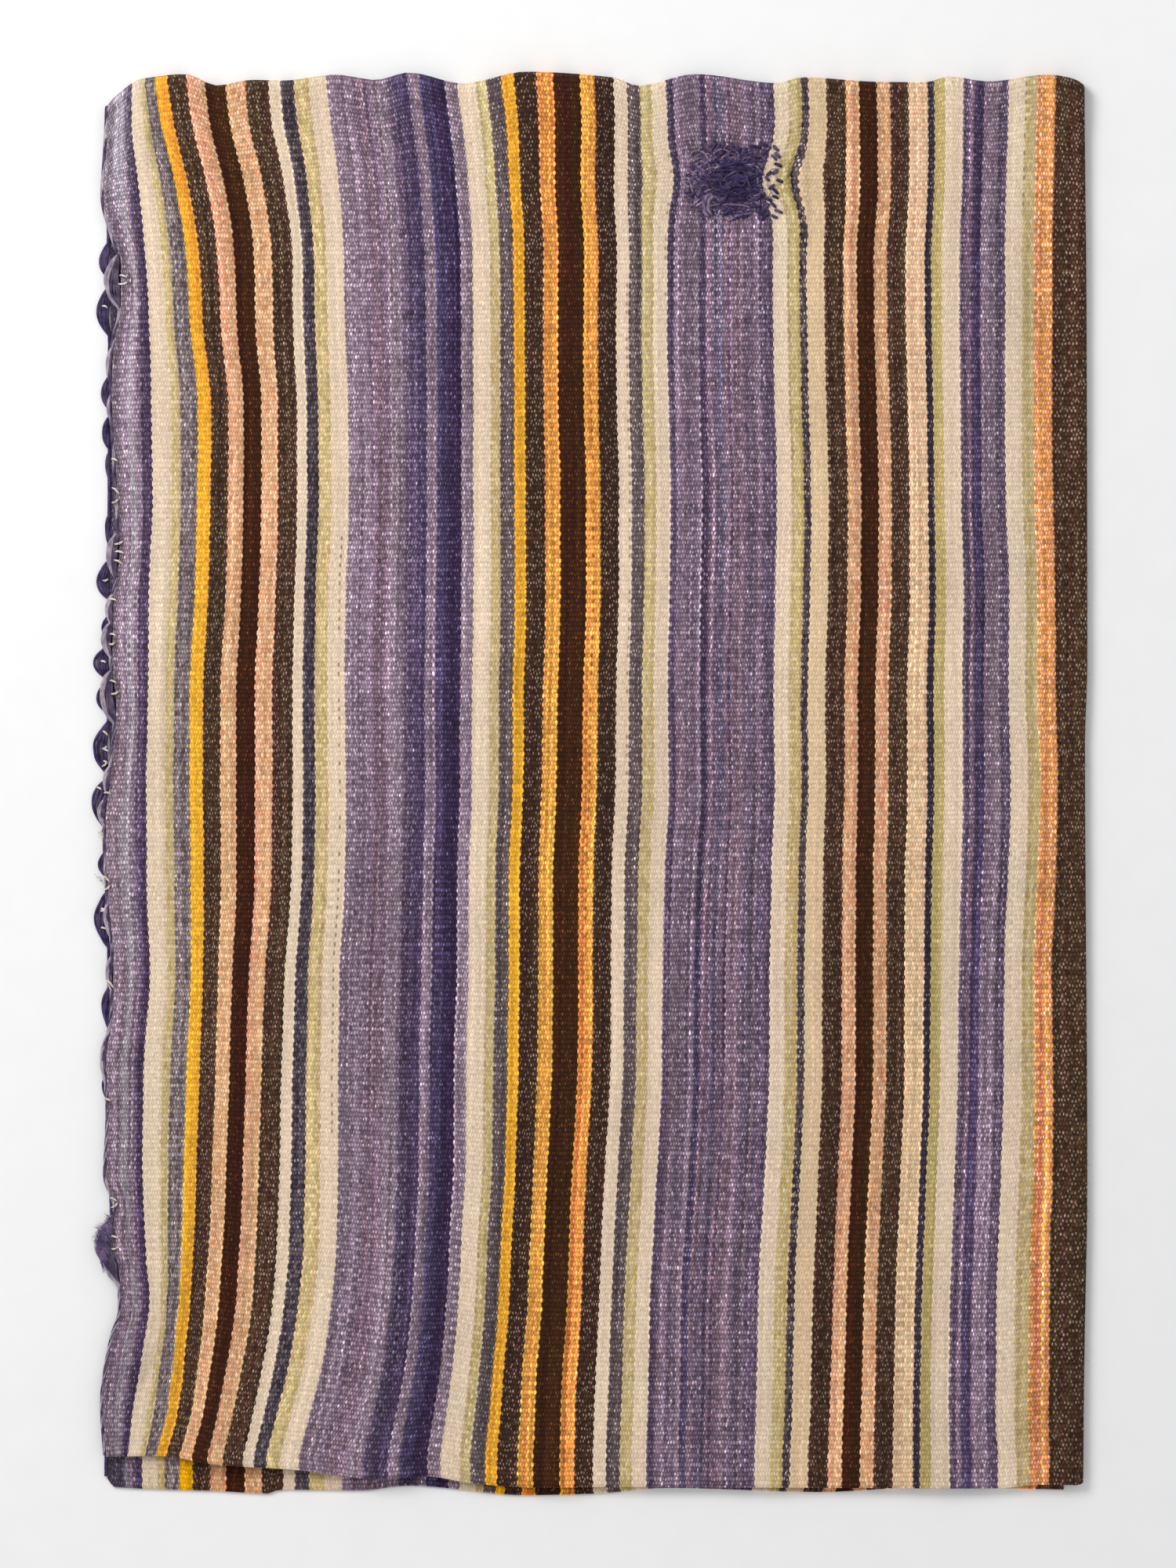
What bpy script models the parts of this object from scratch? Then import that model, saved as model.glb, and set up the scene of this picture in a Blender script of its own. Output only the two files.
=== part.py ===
"""A striped wool blanket, woven in one length, folded once across and lying flat on a table.

Three pieces: the cloth, the thick cord that runs down its left selvedge and has worked loose,
and the darn of coarse yarn near the fold.

Sizes are in millimetres, and become metres where a mesh is made. Three measures place a point:
    across   from the cloth's left selvedge, along the weft, as if the cloth lay straight
    down     from the line of the fold towards the open end
    plan     like across, but as the cloth lies on the table after it has drifted sideways
"""

import math
import random
from typing import NamedTuple

import bpy
import numpy as np

MM = 0.001


class SoftFold(NamedTuple):
    """A long low fold, from one point of the cloth to another."""

    across: float
    down: float
    end_across: float
    end_down: float
    height: float
    half_width: float


class HemLift(NamedTuple):
    """A place where the upper hem stands clear of the layer below."""

    across: float
    height: float
    half_width: float


class LooseLoop(NamedTuple):
    """A place where the selvedge cord has worked loose and loops out."""

    down: float
    half_length: float
    reach: float


class Pinch(NamedTuple):
    """How far a darn draws in the cloth at one of its sides, to the right."""

    across: float
    half_width: float
    shift: float


class Stitch(NamedTuple):
    """A stitch of the darn, placed from the darn's middle."""

    over: float
    under: float
    lean: float
    half_length: float
    height: float


# Driving sizes
WIDTH = 693.0
FOLDED_LENGTH = 1000.0
THICKNESS = 2.5
LAYER_GAP = 2.0
CORD_RADIUS = 1.8
TOUCH_GAP = 0.35
CORD_REACH = 13.0
CORD_SEAT = 0.2

# How finely the cloth is divided, with narrow columns by the selvedges and short rows by the fold
EDGE_COLUMNS = (0.0, 5.0, 11.0)
EDGE_BAND = 19.0
COLUMNS = 37
LOWER_ROWS = 10
FOLD_ROWS = 8
UPPER_ROWS = 44
ROW_CROWDING = 1.3

# The heights of the middle of the cloth in its two layers
LOWER_LEVEL = THICKNESS / 2
UPPER_LEVEL = LOWER_LEVEL + THICKNESS + LAYER_GAP

# The plan measure that lies at X = 0, and the distance down that lies at Y = 0
PLAN_CENTRE = (WIDTH - CORD_REACH) / 2
DOWN_CENTRE = 501.0

# The outline of the fold seen from above: plan, and how far it stands out past the fold's line
FOLD_LINE = (
    (0.0, -20.0),
    (5.6, -12.8),
    (12.2, -7.2),
    (23.4, -1.1),
    (54.0, 2.2),
    (76.2, -5.6),
    (101.3, -1.7),
    (123.5, -2.2),
    (159.7, 1.9),
    (189.2, -1.7),
    (212.6, 3.3),
    (250.4, -4.2),
    (296.1, 3.9),
    (357.3, 0.0),
    (375.1, -5.8),
    (415.7, 2.2),
    (474.1, -3.9),
    (492.0, 0.0),
    (546.5, -3.1),
    (579.9, -3.3),
    (595.5, 0.6),
    (624.4, -2.8),
    (666.1, 1.9),
    (682.8, -0.6),
    (690.6, -5.0),
    (693.0, -10.0),
)

# The two open ends seen from above: plan, distance down
UPPER_HEM = (
    (-3.0, 978.0),
    (38.4, 977.6),
    (72.3, 982.8),
    (138.6, 987.8),
    (156.9, 990.0),
    (188.1, 993.4),
    (223.7, 991.7),
    (259.3, 996.9),
    (302.2, 999.8),
    (368.4, 999.5),
    (628.8, 1000.5),
    (663.3, 997.6),
    (687.3, 998.0),
    (693.0, 995.0),
)
LOWER_HEM = (
    (-3.5, 990.0),
    (4.5, 999.9),
    (79.0, 1002.8),
    (112.4, 1004.5),
    (121.9, 1001.7),
    (179.2, 1002.3),
    (212.6, 998.9),
    (296.0, 1005.6),
    (346.1, 1004.5),
    (396.2, 1000.6),
    (504.7, 1003.4),
    (579.9, 1000.0),
    (677.8, 1001.7),
)

# The selvedges: distance down, and how far each lies to the right of where it was woven
UPPER_LEFT_EDGE = (
    (0.0, 0.0),
    (28.0, -0.5),
    (56.0, -2.0),
    (84.0, -3.7),
    (111.0, 2.5),
    (134.0, 9.0),
    (167.0, 8.4),
    (189.0, 3.4),
    (223.0, 2.3),
    (278.0, 5.0),
    (334.0, 7.8),
    (378.0, 3.4),
    (417.0, 2.8),
    (445.0, 5.6),
    (501.0, 0.6),
    (529.0, -2.2),
    (584.0, 0.0),
    (623.0, 3.4),
    (662.0, 2.8),
    (696.0, -1.7),
    (735.0, 0.0),
    (779.0, -1.7),
    (807.0, 6.1),
    (835.0, 7.2),
    (874.0, 8.9),
    (890.0, 3.9),
    (918.0, -1.7),
    (940.0, -3.9),
    (978.0, -1.7),
)
LOWER_LEFT_EDGE = (
    (0.0, 0.0),
    (60.0, 0.0),
    (200.0, 1.5),
    (500.0, 0.5),
    (800.0, 2.0),
    (1000.0, -1.0),
)
UPPER_RIGHT_EDGE = (
    (0.0, -1.5),
    (167.0, 0.4),
    (417.0, 1.0),
    (473.0, -0.6),
    (779.0, 1.0),
    (918.0, -1.2),
    (1000.0, -2.0),
)

# How far the upper layer has drifted to the right. Each row is a distance down, and then a drift
# for each of nine stripes, which lie at these distances across.
DRIFT_ACROSS = (27.8, 62.3, 123.5, 161.4, 257.1, 332.2, 424.0, 540.9, 641.1)
UPPER_DRIFT = (
    (0.0, (-9.0, -24.5, -18.0, -17.0, -13.5, -1.0, -5.5, 0.0, 1.5)),
    (33.0, (-8.5, -19.0, -16.0, -14.0, -8.0, 0.0, -4.5, 1.0, 1.0)),
    (72.0, (-4.0, -9.5, -6.5, -6.5, -3.5, -0.5, -4.5, 1.0, 0.0)),
    (128.0, (1.0, -1.5, 0.0, -1.0, 0.5, 1.0, -4.5, -0.5, -1.0)),
    (256.0, (6.0, 6.5, 4.5, 3.0, 0.5, 2.0, -2.0, 1.5, -0.5)),
    (362.0, (3.5, 3.5, 1.0, -0.5, -0.5, 3.5, 0.5, 3.0, 0.5)),
    (501.0, (0.0, 0.0, 0.0, 0.0, 0.0, 0.0, 0.0, 0.0, 0.0)),
    (640.0, (3.0, 0.0, -6.5, -4.0, -3.0, -2.0, -5.0, -0.5, -2.0)),
    (751.0, (-3.0, -6.0, -12.0, -7.0, -4.0, -5.5, -7.0, -2.0, -3.5)),
    (846.0, (1.5, -9.5, -16.0, -10.0, -9.0, -9.5, -13.5, -6.5, -5.0)),
    (913.0, (-3.5, -14.5, -24.5, -19.5, -14.5, -14.5, -15.5, -8.5, -7.0)),
    (977.0, (-12.0, -25.0, -36.0, -33.5, -23.0, -18.5, -16.5, -10.5, -5.0)),
)
LOWER_HEM_DRIFT = (-3.5, -7.5, -7.5, -3.0, -9.0, -15.5, -15.5, -15.5, -15.5)
LOWER_RIGHT_DRIFT = -15.5

# The long soft folds of the upper layer: across, down, end across, end down, height, half width
SOFT_FOLDS = (
    SoftFold(40.0, 8.0, 52.0, 260.0, 3.0, 15.0),
    SoftFold(165.0, 40.0, 160.0, 985.0, 2.0, 42.0),
    SoftFold(272.0, 0.0, 276.0, 995.0, 3.4, 36.0),
    SoftFold(400.0, 230.0, 404.0, 995.0, 2.2, 46.0),
    SoftFold(520.0, 90.0, 512.0, 760.0, 1.8, 42.0),
    SoftFold(636.0, 70.0, 640.0, 930.0, 2.2, 36.0),
    SoftFold(22.0, 828.0, 78.0, 905.0, 3.6, 14.0),
    SoftFold(30.0, 890.0, 96.0, 968.0, 3.2, 13.0),
    SoftFold(88.0, 430.0, 96.0, 800.0, 1.6, 30.0),
)
SOFT_FOLD_END = 0.35
SOFT_FOLD_TAPER = 4.0

# Where the upper hem stands clear: across, height, half width
HEM_LIFTS = (
    HemLift(112.0, 3.4, 46.0),
    HemLift(222.0, 3.0, 40.0),
    HemLift(330.0, 1.6, 34.0),
    HemLift(470.0, 1.4, 52.0),
    HemLift(600.0, 1.6, 46.0),
    HemLift(676.0, 1.8, 24.0),
)
HEM_LIFT_LENGTH = 95.0

# The fold stands up in a soft loop, and its ridges run on down the upper layer
LOOP_HEIGHT = 2.6
LOOP_LENGTH = 46.0
LOOP_SHARE = 0.033
RIDGE_FLOOR = -6.0
RIDGE_SHARE = 0.62
RIDGE_LENGTH = 150.0
RIDGE_FALL = 1.3

# The darn, whose stiff yarn holds the cloth level about it
DARN_ACROSS = 447.0
DARN_DOWN = 73.5
DARN_HALF_WIDTH = 36.0
DARN_HALF_LENGTH = 29.0
DARN_LEVEL = 2.4
DARN_FLAT_SHARE = 1.6
DARN_FADE_SHARE = 2.2
DARN_CELLS = 20
DARN_EDGE = 0.7
DARN_CROWN = 1.0
DARN_PINCHES = (Pinch(400.0, 20.0, 6.5), Pinch(490.0, 24.0, -9.0))
DARN_PINCH_LENGTH = 21.0

# The darn's ragged outline: how many scallops of each kind, how deep, and where they start
DARN_SCALLOPS = ((5, 0.05, 0.7), (11, 0.035, 0.0))

# The darn's stitches, which run mostly along the weft
STITCHES = 46
STITCH_HALF_WIDTH = 4.2
STITCH_LEAN = 0.8
STITCH_HALF_LENGTHS = (6.0, 10.0)
STITCH_HEIGHTS = (0.7, 1.5)
STITCHED_SHARE = 0.95
STITCHED_FADE = 0.25

# Where the cord has worked loose: distance down, half length, how far it loops out
UPPER_LOOPS = (
    LooseLoop(142.0, 23.0, 7.5),
    LooseLoop(336.0, 18.0, 3.5),
    LooseLoop(375.0, 11.0, 3.0),
    LooseLoop(395.0, 12.0, 4.5),
    LooseLoop(437.0, 20.0, 7.0),
    LooseLoop(509.0, 20.0, 4.0),
    LooseLoop(633.0, 11.0, 2.5),
    LooseLoop(696.0, 17.0, 2.5),
    LooseLoop(828.0, 22.0, 9.0),
)
LOWER_LOOPS = (
    LooseLoop(130.0, 7.0, 4.0),
    LooseLoop(164.0, 17.0, 6.5),
    LooseLoop(223.0, 11.0, 4.0),
    LooseLoop(250.0, 9.0, 4.0),
    LooseLoop(323.0, 7.0, 3.0),
    LooseLoop(355.0, 12.0, 7.3),
    LooseLoop(390.0, 8.0, 4.0),
    LooseLoop(416.0, 8.0, 8.2),
    LooseLoop(437.0, 10.0, 7.2),
    LooseLoop(480.0, 18.0, 9.0),
    LooseLoop(515.0, 16.0, 9.5),
    LooseLoop(560.0, 7.0, 6.5),
    LooseLoop(593.0, 18.0, 8.2),
    LooseLoop(668.0, 12.0, 4.0),
    LooseLoop(694.0, 7.0, 5.5),
    LooseLoop(715.0, 11.0, 4.5),
)
CORD_LOOP_SHARES = (-1.0, -0.66, -0.33, 0.0, 0.33, 0.66, 1.0)
CORD_BEVEL_RESOLUTION = 1

# Colours of the wool, as linear red, green and blue
LILAC_STRIPED_WOOL = (0.33, 0.25, 0.29)
LILAC_WOOL = (0.26, 0.19, 0.27)
PURPLE_WOOL = (0.09, 0.06, 0.14)
WOOL_ROUGHNESS = 0.92


def smooth(knots, values, at):
    """Reads a monotone cubic curve through the knots. Values may hold a column for each point."""
    knots = np.asarray(knots, float)
    values = np.asarray(values, float)
    at = np.asarray(at, float)
    if values.ndim == 1:
        values = np.broadcast_to(values.reshape((-1,) + (1,) * at.ndim), values.shape + at.shape)
    step = np.diff(knots).reshape((-1,) + (1,) * at.ndim)
    rise = np.diff(values, axis=0) / step
    product = rise[:-1] * rise[1:]
    total = rise[:-1] + rise[1:]
    slope = np.zeros(values.shape)
    slope[1:-1] = np.where(product > 0, 2 * product / np.where(total == 0, 1, total), 0)
    slope[0] = rise[0]
    slope[-1] = rise[-1]
    inside = np.clip(at, knots[0], knots[-1])
    first = np.clip(np.searchsorted(knots, inside) - 1, 0, len(knots) - 2)
    width = knots[first + 1] - knots[first]
    t = (inside - knots[first]) / width

    def pick(table, index):
        return np.take_along_axis(table, index[None], axis=0)[0]

    ends = pick(values, first) * (2 * t**3 - 3 * t**2 + 1)
    ends = ends + pick(values, first + 1) * (3 * t**2 - 2 * t**3)
    bends = pick(slope, first) * (t**3 - 2 * t**2 + t)
    bends = bends + pick(slope, first + 1) * (t**3 - t**2)
    return ends + width * bends


def through(table, at):
    """Reads the curve of a table whose rows are a place and a value."""
    places, values = zip(*table)
    return smooth(places, values, at)


def ease(share):
    """Runs softly from 0 to 1 as share does."""
    t = np.clip(share, 0, 1)
    return t * t * (3 - 2 * t)


def hump(distance, half_width):
    """A soft hump, 1 in the middle and 0 from the half width on."""
    return np.cos(np.clip(np.abs(distance) / half_width, 0, 1) * math.pi / 2) ** 2


def darn_distance(across, down):
    """How many of its own half sizes a point lies from the middle of the darn."""
    return np.hypot((across - DARN_ACROSS) / DARN_HALF_WIDTH, (down - DARN_DOWN) / DARN_HALF_LENGTH)


def darn_pinch(across, down):
    """How far the darn has drawn the cloth beside it to the right."""
    shift = sum(
        pinch.shift * np.exp(-(((across - pinch.across) / pinch.half_width) ** 2))
        for pinch in DARN_PINCHES
    )
    return shift * np.exp(-(((down - DARN_DOWN) / DARN_PINCH_LENGTH) ** 2))


def band_drift(rows, across):
    """The drift for each row of a drift table at each distance across, edges left out."""
    return np.stack([smooth(DRIFT_ACROSS, row, across) for row in rows])


def with_edges(inner, left, right, across):
    """Joins the drift of the stripes to that of the two selvedges."""
    first, last = DRIFT_ACROSS[0], DRIFT_ACROSS[-1]
    to_left = ease((first - across) / first)
    to_right = ease((across - last) / (WIDTH - last))
    return inner * (1 - to_left) * (1 - to_right) + left * to_left + right * to_right


def upper_plan(across, down):
    """Where a point of the upper layer lies in plan."""
    places, rows = zip(*UPPER_DRIFT)
    inner = smooth(places, band_drift(rows, across), down)
    left = through(UPPER_LEFT_EDGE, down)
    right = through(UPPER_RIGHT_EDGE, down)
    return across + with_edges(inner, left, right, across) + darn_pinch(across, down)


def lower_plan(across, down):
    """Where a point of the lower layer lies in plan. It follows the upper one at the fold."""
    fold = upper_plan(across, np.zeros_like(down)) - across
    hem = with_edges(
        smooth(DRIFT_ACROSS, LOWER_HEM_DRIFT, across),
        through(LOWER_LEFT_EDGE, down),
        LOWER_RIGHT_DRIFT,
        across,
    )
    share = ease(down / FOLDED_LENGTH)
    side = ease(1 - across / DRIFT_ACROSS[0])
    free = fold * (1 - share) + hem * share
    return across + free * (1 - side) + through(LOWER_LEFT_EDGE, down) * side


def fold_outline(across):
    """How far the fold stands out past its line at each distance across."""
    return through(FOLD_LINE, upper_plan(across, np.zeros_like(across)))


def upper_lift(across, down):
    """How far the upper layer stands above its lowest level."""
    below_fold = np.maximum(down, 0)
    ridge = RIDGE_SHARE * np.maximum(fold_outline(across) - RIDGE_FLOOR, 0)
    lift = ridge * np.exp(-((below_fold / RIDGE_LENGTH) ** RIDGE_FALL))
    lift = lift + LOOP_HEIGHT * np.exp(-below_fold / LOOP_LENGTH)
    for fold in SOFT_FOLDS:
        share = (down - fold.down) / (fold.end_down - fold.down)
        centre = fold.across + (fold.end_across - fold.across) * np.clip(share, 0, 1)
        from_end = np.minimum(share, 1 - share)
        length = ease(from_end * SOFT_FOLD_TAPER + SOFT_FOLD_END)
        lift = lift + fold.height * length * hump(across - centre, fold.half_width)
    to_hem = through(UPPER_HEM, upper_plan(across, down)) - down
    for hem in HEM_LIFTS:
        near_hem = ease(1 - to_hem / HEM_LIFT_LENGTH)
        lift = lift + hem.height * near_hem * hump(across - hem.across, hem.half_width)
    flat = ease((DARN_FADE_SHARE - darn_distance(across, down)) / (DARN_FADE_SHARE - DARN_FLAT_SHARE))
    return lift * (1 - flat) + DARN_LEVEL * flat


def place(plan, down, height):
    """A point in the part's frame, in metres, from millimetres in plan, down and up."""
    return np.stack([plan - PLAN_CENTRE, DOWN_CENTRE - down, height], axis=-1) * MM


def column_places():
    """The distances across at which the cloth is divided."""
    edge = np.array(EDGE_COLUMNS)
    field = np.linspace(EDGE_BAND, WIDTH - EDGE_BAND, COLUMNS)
    return np.concatenate([edge, field, WIDTH - edge[::-1]])


def cloth_middle():
    """The middle surface of the cloth as rows of points, from the lower hem round to the upper one."""
    across = column_places()
    zero = np.zeros_like(across)
    loop = (UPPER_LEVEL + upper_lift(across, zero) - LOWER_LEVEL) / 2
    start = loop + THICKNESS / 2 - fold_outline(across)
    rows = []
    lower_end = through(LOWER_HEM, lower_plan(across, zero + FOLDED_LENGTH))
    for share in np.linspace(1, 0, LOWER_ROWS + 1):
        down = start + (lower_end - start) * share
        rows.append(place(lower_plan(across, down), down, zero + LOWER_LEVEL))
    for angle in np.linspace(-90, 90, FOLD_ROWS + 1)[1:-1]:
        turn = math.radians(angle)
        down = start - loop * math.cos(turn)
        height = LOWER_LEVEL + loop * (1 + math.sin(turn))
        share = (1 + math.sin(turn)) / 2
        plan = lower_plan(across, start) * (1 - share) + upper_plan(across, start) * share
        rows.append(place(plan, down, height))
    upper_end = through(UPPER_HEM, upper_plan(across, zero + FOLDED_LENGTH))
    for share in np.linspace(0, 1, UPPER_ROWS + 1) ** ROW_CROWDING:
        down = start + (upper_end - start) * share
        free = ease(share / LOOP_SHARE)
        lift = upper_lift(across, down) * free + upper_lift(across, zero) * (1 - free)
        rows.append(place(upper_plan(across, down), down, UPPER_LEVEL + lift))
    return np.stack(rows)


def outward(middle):
    """The direction out of the folded cloth at each point of its middle surface."""
    along = np.gradient(middle, axis=0)
    sideways = np.gradient(middle, axis=1)
    normal = np.cross(along, sideways)
    normal[: LOWER_ROWS + 1] = (0, 0, -1)
    return normal / np.linalg.norm(normal, axis=2, keepdims=True)


def closed_sheet(name, outer, inner):
    """A closed mesh between two grids of points, of which the outer one faces along rows x columns."""
    count, columns = outer.shape[:2]
    points = np.concatenate([outer.reshape(-1, 3), inner.reshape(-1, 3)])

    def at(spot, side):
        return side * count * columns + spot[0] * columns + spot[1]

    faces = []
    for row in range(count - 1):
        for column in range(columns - 1):
            corners = ((row, column), (row, column + 1), (row + 1, column + 1), (row + 1, column))
            faces.append([at(spot, 0) for spot in reversed(corners)])
            faces.append([at(spot, 1) for spot in corners])
    border = [(0, column) for column in range(columns - 1)]
    border += [(row, columns - 1) for row in range(count - 1)]
    border += [(count - 1, column) for column in range(columns - 1, 0, -1)]
    border += [(row, 0) for row in range(count - 1, 0, -1)]
    for spot, following in zip(border, border[1:] + border[:1]):
        faces.append([at(spot, 0), at(following, 0), at(following, 1), at(spot, 1)])
    mesh = bpy.data.meshes.new(name)
    mesh.from_pydata(points.tolist(), [], faces)
    mesh.shade_smooth()
    return mesh


def cloth_mesh(middle):
    """The cloth, with its thickness laid half on each side of its middle surface."""
    offset = outward(middle) * THICKNESS * MM / 2
    return closed_sheet("cloth", middle + offset, middle - offset)


def wool(name, colour):
    """A rough woollen material."""
    material = bpy.data.materials.new(name)
    material.use_nodes = True
    shader = material.node_tree.nodes["Principled BSDF"]
    shader.inputs["Base Color"].default_value = (*colour, 1)
    shader.inputs["Roughness"].default_value = WOOL_ROUGHNESS
    shader.inputs["Metallic"].default_value = 0
    return material


def show(name, data, material):
    """Puts an object for the data in the scene, with its material."""
    piece = bpy.data.objects.new(name, data)
    data.materials.append(material)
    bpy.context.scene.collection.objects.link(piece)
    return piece


def looped_out(down, loops):
    """How far the cord loops out from the selvedge at a distance down."""
    return max(loop.reach * float(hump(down - loop.down, loop.half_length)) for loop in loops)


def cord_places(rows, loops):
    """The distances down at which the cord has a point: at each row of the cloth, and on its loops."""
    curved = [loop.down + share * loop.half_length for loop in loops for share in CORD_LOOP_SHARES]
    spaced = [rows.min()]
    for place_down in sorted([*curved, *rows]):
        if spaced[-1] + CORD_RADIUS < place_down <= rows.max():
            spaced.append(place_down)
    return spaced


def cord_beside(edge, loops):
    """The cord's line beside one layer's left edge, from the top of the edge down."""
    down = DOWN_CENTRE - edge[:, 1]
    route = []
    for place_down in cord_places(down, loops):
        x, z = (float(np.interp(place_down, down, edge[:, axis])) for axis in (0, 2))
        out = CORD_RADIUS + TOUCH_GAP + looped_out(place_down, loops)
        route.append((x - out, DOWN_CENTRE - place_down, max(z, CORD_RADIUS) + CORD_SEAT))
    return route


def cord_route(middle):
    """The line of the selvedge cord, beside the cloth's left edge from one open end to the other."""
    edge = middle[:, 0] / MM
    edge[:, 0] -= np.abs(outward(middle)[:, 0, 0]) * THICKNESS / 2
    lower = cord_beside(edge[LOWER_ROWS::-1], LOWER_LOOPS)
    upper = cord_beside(edge[LOWER_ROWS + FOLD_ROWS :], UPPER_LOOPS)
    bend = edge[LOWER_ROWS + 1 : LOWER_ROWS + FOLD_ROWS] - (CORD_RADIUS + TOUCH_GAP, 0, -CORD_SEAT)
    return [*reversed(lower), *bend, *upper]


def selvedge_cord(middle):
    """The thick cord of warp yarns down the left selvedge."""
    curve = bpy.data.curves.new("selvedge_cord", "CURVE")
    curve.dimensions = "3D"
    curve.bevel_depth = CORD_RADIUS * MM
    curve.bevel_resolution = CORD_BEVEL_RESOLUTION
    curve.use_fill_caps = True
    spline = curve.splines.new("POLY")
    route = cord_route(middle)
    spline.points.add(len(route) - 1)
    for point, position in zip(spline.points, route):
        point.co = (*(value * MM for value in position), 1)
    return curve


def darn_stitches():
    """The darn's stitches, scattered evenly over it."""
    chance = random.Random(11)
    stitches = []
    for _ in range(STITCHES):
        distance = math.sqrt(chance.random()) * STITCHED_SHARE
        angle = chance.uniform(0, 2 * math.pi)
        stitch = Stitch(
            over=distance * math.cos(angle) * DARN_HALF_WIDTH,
            under=distance * math.sin(angle) * DARN_HALF_LENGTH,
            lean=chance.gauss(0, STITCH_LEAN),
            half_length=chance.uniform(*STITCH_HALF_LENGTHS),
            height=chance.uniform(*STITCH_HEIGHTS),
        )
        stitches.append(stitch)
    return stitches


def stitched_height(over, under, stitches):
    """How high the stitches stand at points measured from the middle of the darn."""
    height = np.zeros_like(over)
    for stitch in stitches:
        right, below = over - stitch.over, under - stitch.under
        along = right * math.cos(stitch.lean) + below * math.sin(stitch.lean)
        beside = below * math.cos(stitch.lean) - right * math.sin(stitch.lean)
        shape = hump(along, stitch.half_length) * hump(beside, STITCH_HALF_WIDTH)
        height = np.maximum(height, stitch.height * shape)
    return height


def darn_mesh():
    """The pad of coarse yarn stitched over the hole, lying on the upper layer."""
    steps = np.linspace(-1, 1, DARN_CELLS + 1)
    square_over, square_under = np.meshgrid(steps, steps)
    over = square_over * np.sqrt(1 - square_under**2 / 2)
    under = square_under * np.sqrt(1 - square_over**2 / 2)
    distance = np.hypot(over, under)
    angle = np.arctan2(under, over)
    scallops = sum(depth * np.sin(count * angle + start) for count, depth, start in DARN_SCALLOPS)
    ragged = 1 + distance * scallops
    over = over * ragged * DARN_HALF_WIDTH
    under = under * ragged * DARN_HALF_LENGTH
    thickness = DARN_EDGE + DARN_CROWN * (1 - distance**2)
    within = ease((1 - distance) / STITCHED_FADE + 0.5)
    thickness = thickness + within * stitched_height(over, under, darn_stitches())
    seat = np.full_like(over, UPPER_LEVEL + THICKNESS / 2 + DARN_LEVEL + TOUCH_GAP)
    plan, down = DARN_ACROSS + over, DARN_DOWN + under
    return closed_sheet("darn", place(plan, down, seat + thickness), place(plan, down, seat))


def main():
    for thing in list(bpy.data.objects):
        bpy.data.objects.remove(thing)
    middle = cloth_middle()
    show("cloth", cloth_mesh(middle), wool("striped wool cloth", LILAC_STRIPED_WOOL))
    show("selvedge_cord", selvedge_cord(middle), wool("lilac wool cord", LILAC_WOOL))
    show("darn", darn_mesh(), wool("purple darning yarn", PURPLE_WOOL))


main()
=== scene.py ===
"""Dresses the folded striped blanket: its woven cloth, the loose cord down its left selvedge, its darn,
and the ends of weft, tuft and stray hairs that stand out from it.

Sizes are in millimetres, and become metres where a mesh is made. Three measures place a point, as in
the solids:
    across   from the cloth's left selvedge, along the weft, as if the cloth lay straight
    down     from the line of the fold towards the open end
    plan     like across, but as the cloth lies on the table after it has drifted sideways
"""

import logging
import math
import random
from collections.abc import Callable, Iterable, Sequence
from dataclasses import dataclass
from enum import Enum
from typing import Any, NamedTuple

import bpy
import numpy as np
from bpy.types import Material, Node, NodeSocket, NodeTree, Object
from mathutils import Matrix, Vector, noise


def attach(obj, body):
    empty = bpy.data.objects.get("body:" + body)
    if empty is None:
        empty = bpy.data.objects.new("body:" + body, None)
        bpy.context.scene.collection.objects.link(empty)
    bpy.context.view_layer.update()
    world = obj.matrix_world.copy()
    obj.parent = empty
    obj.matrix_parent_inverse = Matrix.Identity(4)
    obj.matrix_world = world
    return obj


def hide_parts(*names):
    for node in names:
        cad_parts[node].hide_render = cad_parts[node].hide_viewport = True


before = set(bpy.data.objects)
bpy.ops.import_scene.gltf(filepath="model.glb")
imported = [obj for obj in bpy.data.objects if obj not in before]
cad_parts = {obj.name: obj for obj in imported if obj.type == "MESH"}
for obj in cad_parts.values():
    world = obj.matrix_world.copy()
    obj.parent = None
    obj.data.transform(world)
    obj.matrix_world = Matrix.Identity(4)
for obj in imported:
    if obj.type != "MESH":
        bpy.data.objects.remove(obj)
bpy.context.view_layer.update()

LOG = logging.getLogger("blanket")
MM = 0.001
BODY = "root"
CLOTH_WIDTH = 693.0

# A Mix node's first input, second input and output, for each kind of value that it can mix
MIX_NUMBER = (2, 3, 0)
MIX_VECTOR = (4, 5, 1)
MIX_COLOUR = (6, 7, 2)

Path = Sequence[Sequence[float]]


class SoftFold(NamedTuple):
    """A long low fold, from one point of the cloth to another."""

    across: float
    down: float
    end_across: float
    end_down: float
    height: float
    half_width: float


class HemLift(NamedTuple):
    """A place where the upper hem stands clear of the layer below."""

    across: float
    height: float
    half_width: float


class LooseLoop(NamedTuple):
    """A place where the selvedge cord has worked loose and loops out."""

    down: float
    half_length: float
    reach: float


class Pinch(NamedTuple):
    """How far a darn draws in the cloth at one of its sides, to the right."""

    across: float
    half_width: float
    shift: float


class Crease(NamedTuple):
    """A short sharp ridge, or a trough where its height is less than 0, placed in plan."""

    plan: float
    down: float
    end_plan: float
    end_down: float
    height: float
    half_width: float


class StrayEnd(NamedTuple):
    """A single odd warp end that runs in a stripe of another colour for a while."""

    across: float
    start: float
    stop: float
    colour: str


class WeftTurn(NamedTuple):
    """A bit of weft that shows where it turns round the cord: how far it reaches in and out."""

    down: float
    inward: float
    outward: float
    lean: float


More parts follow.
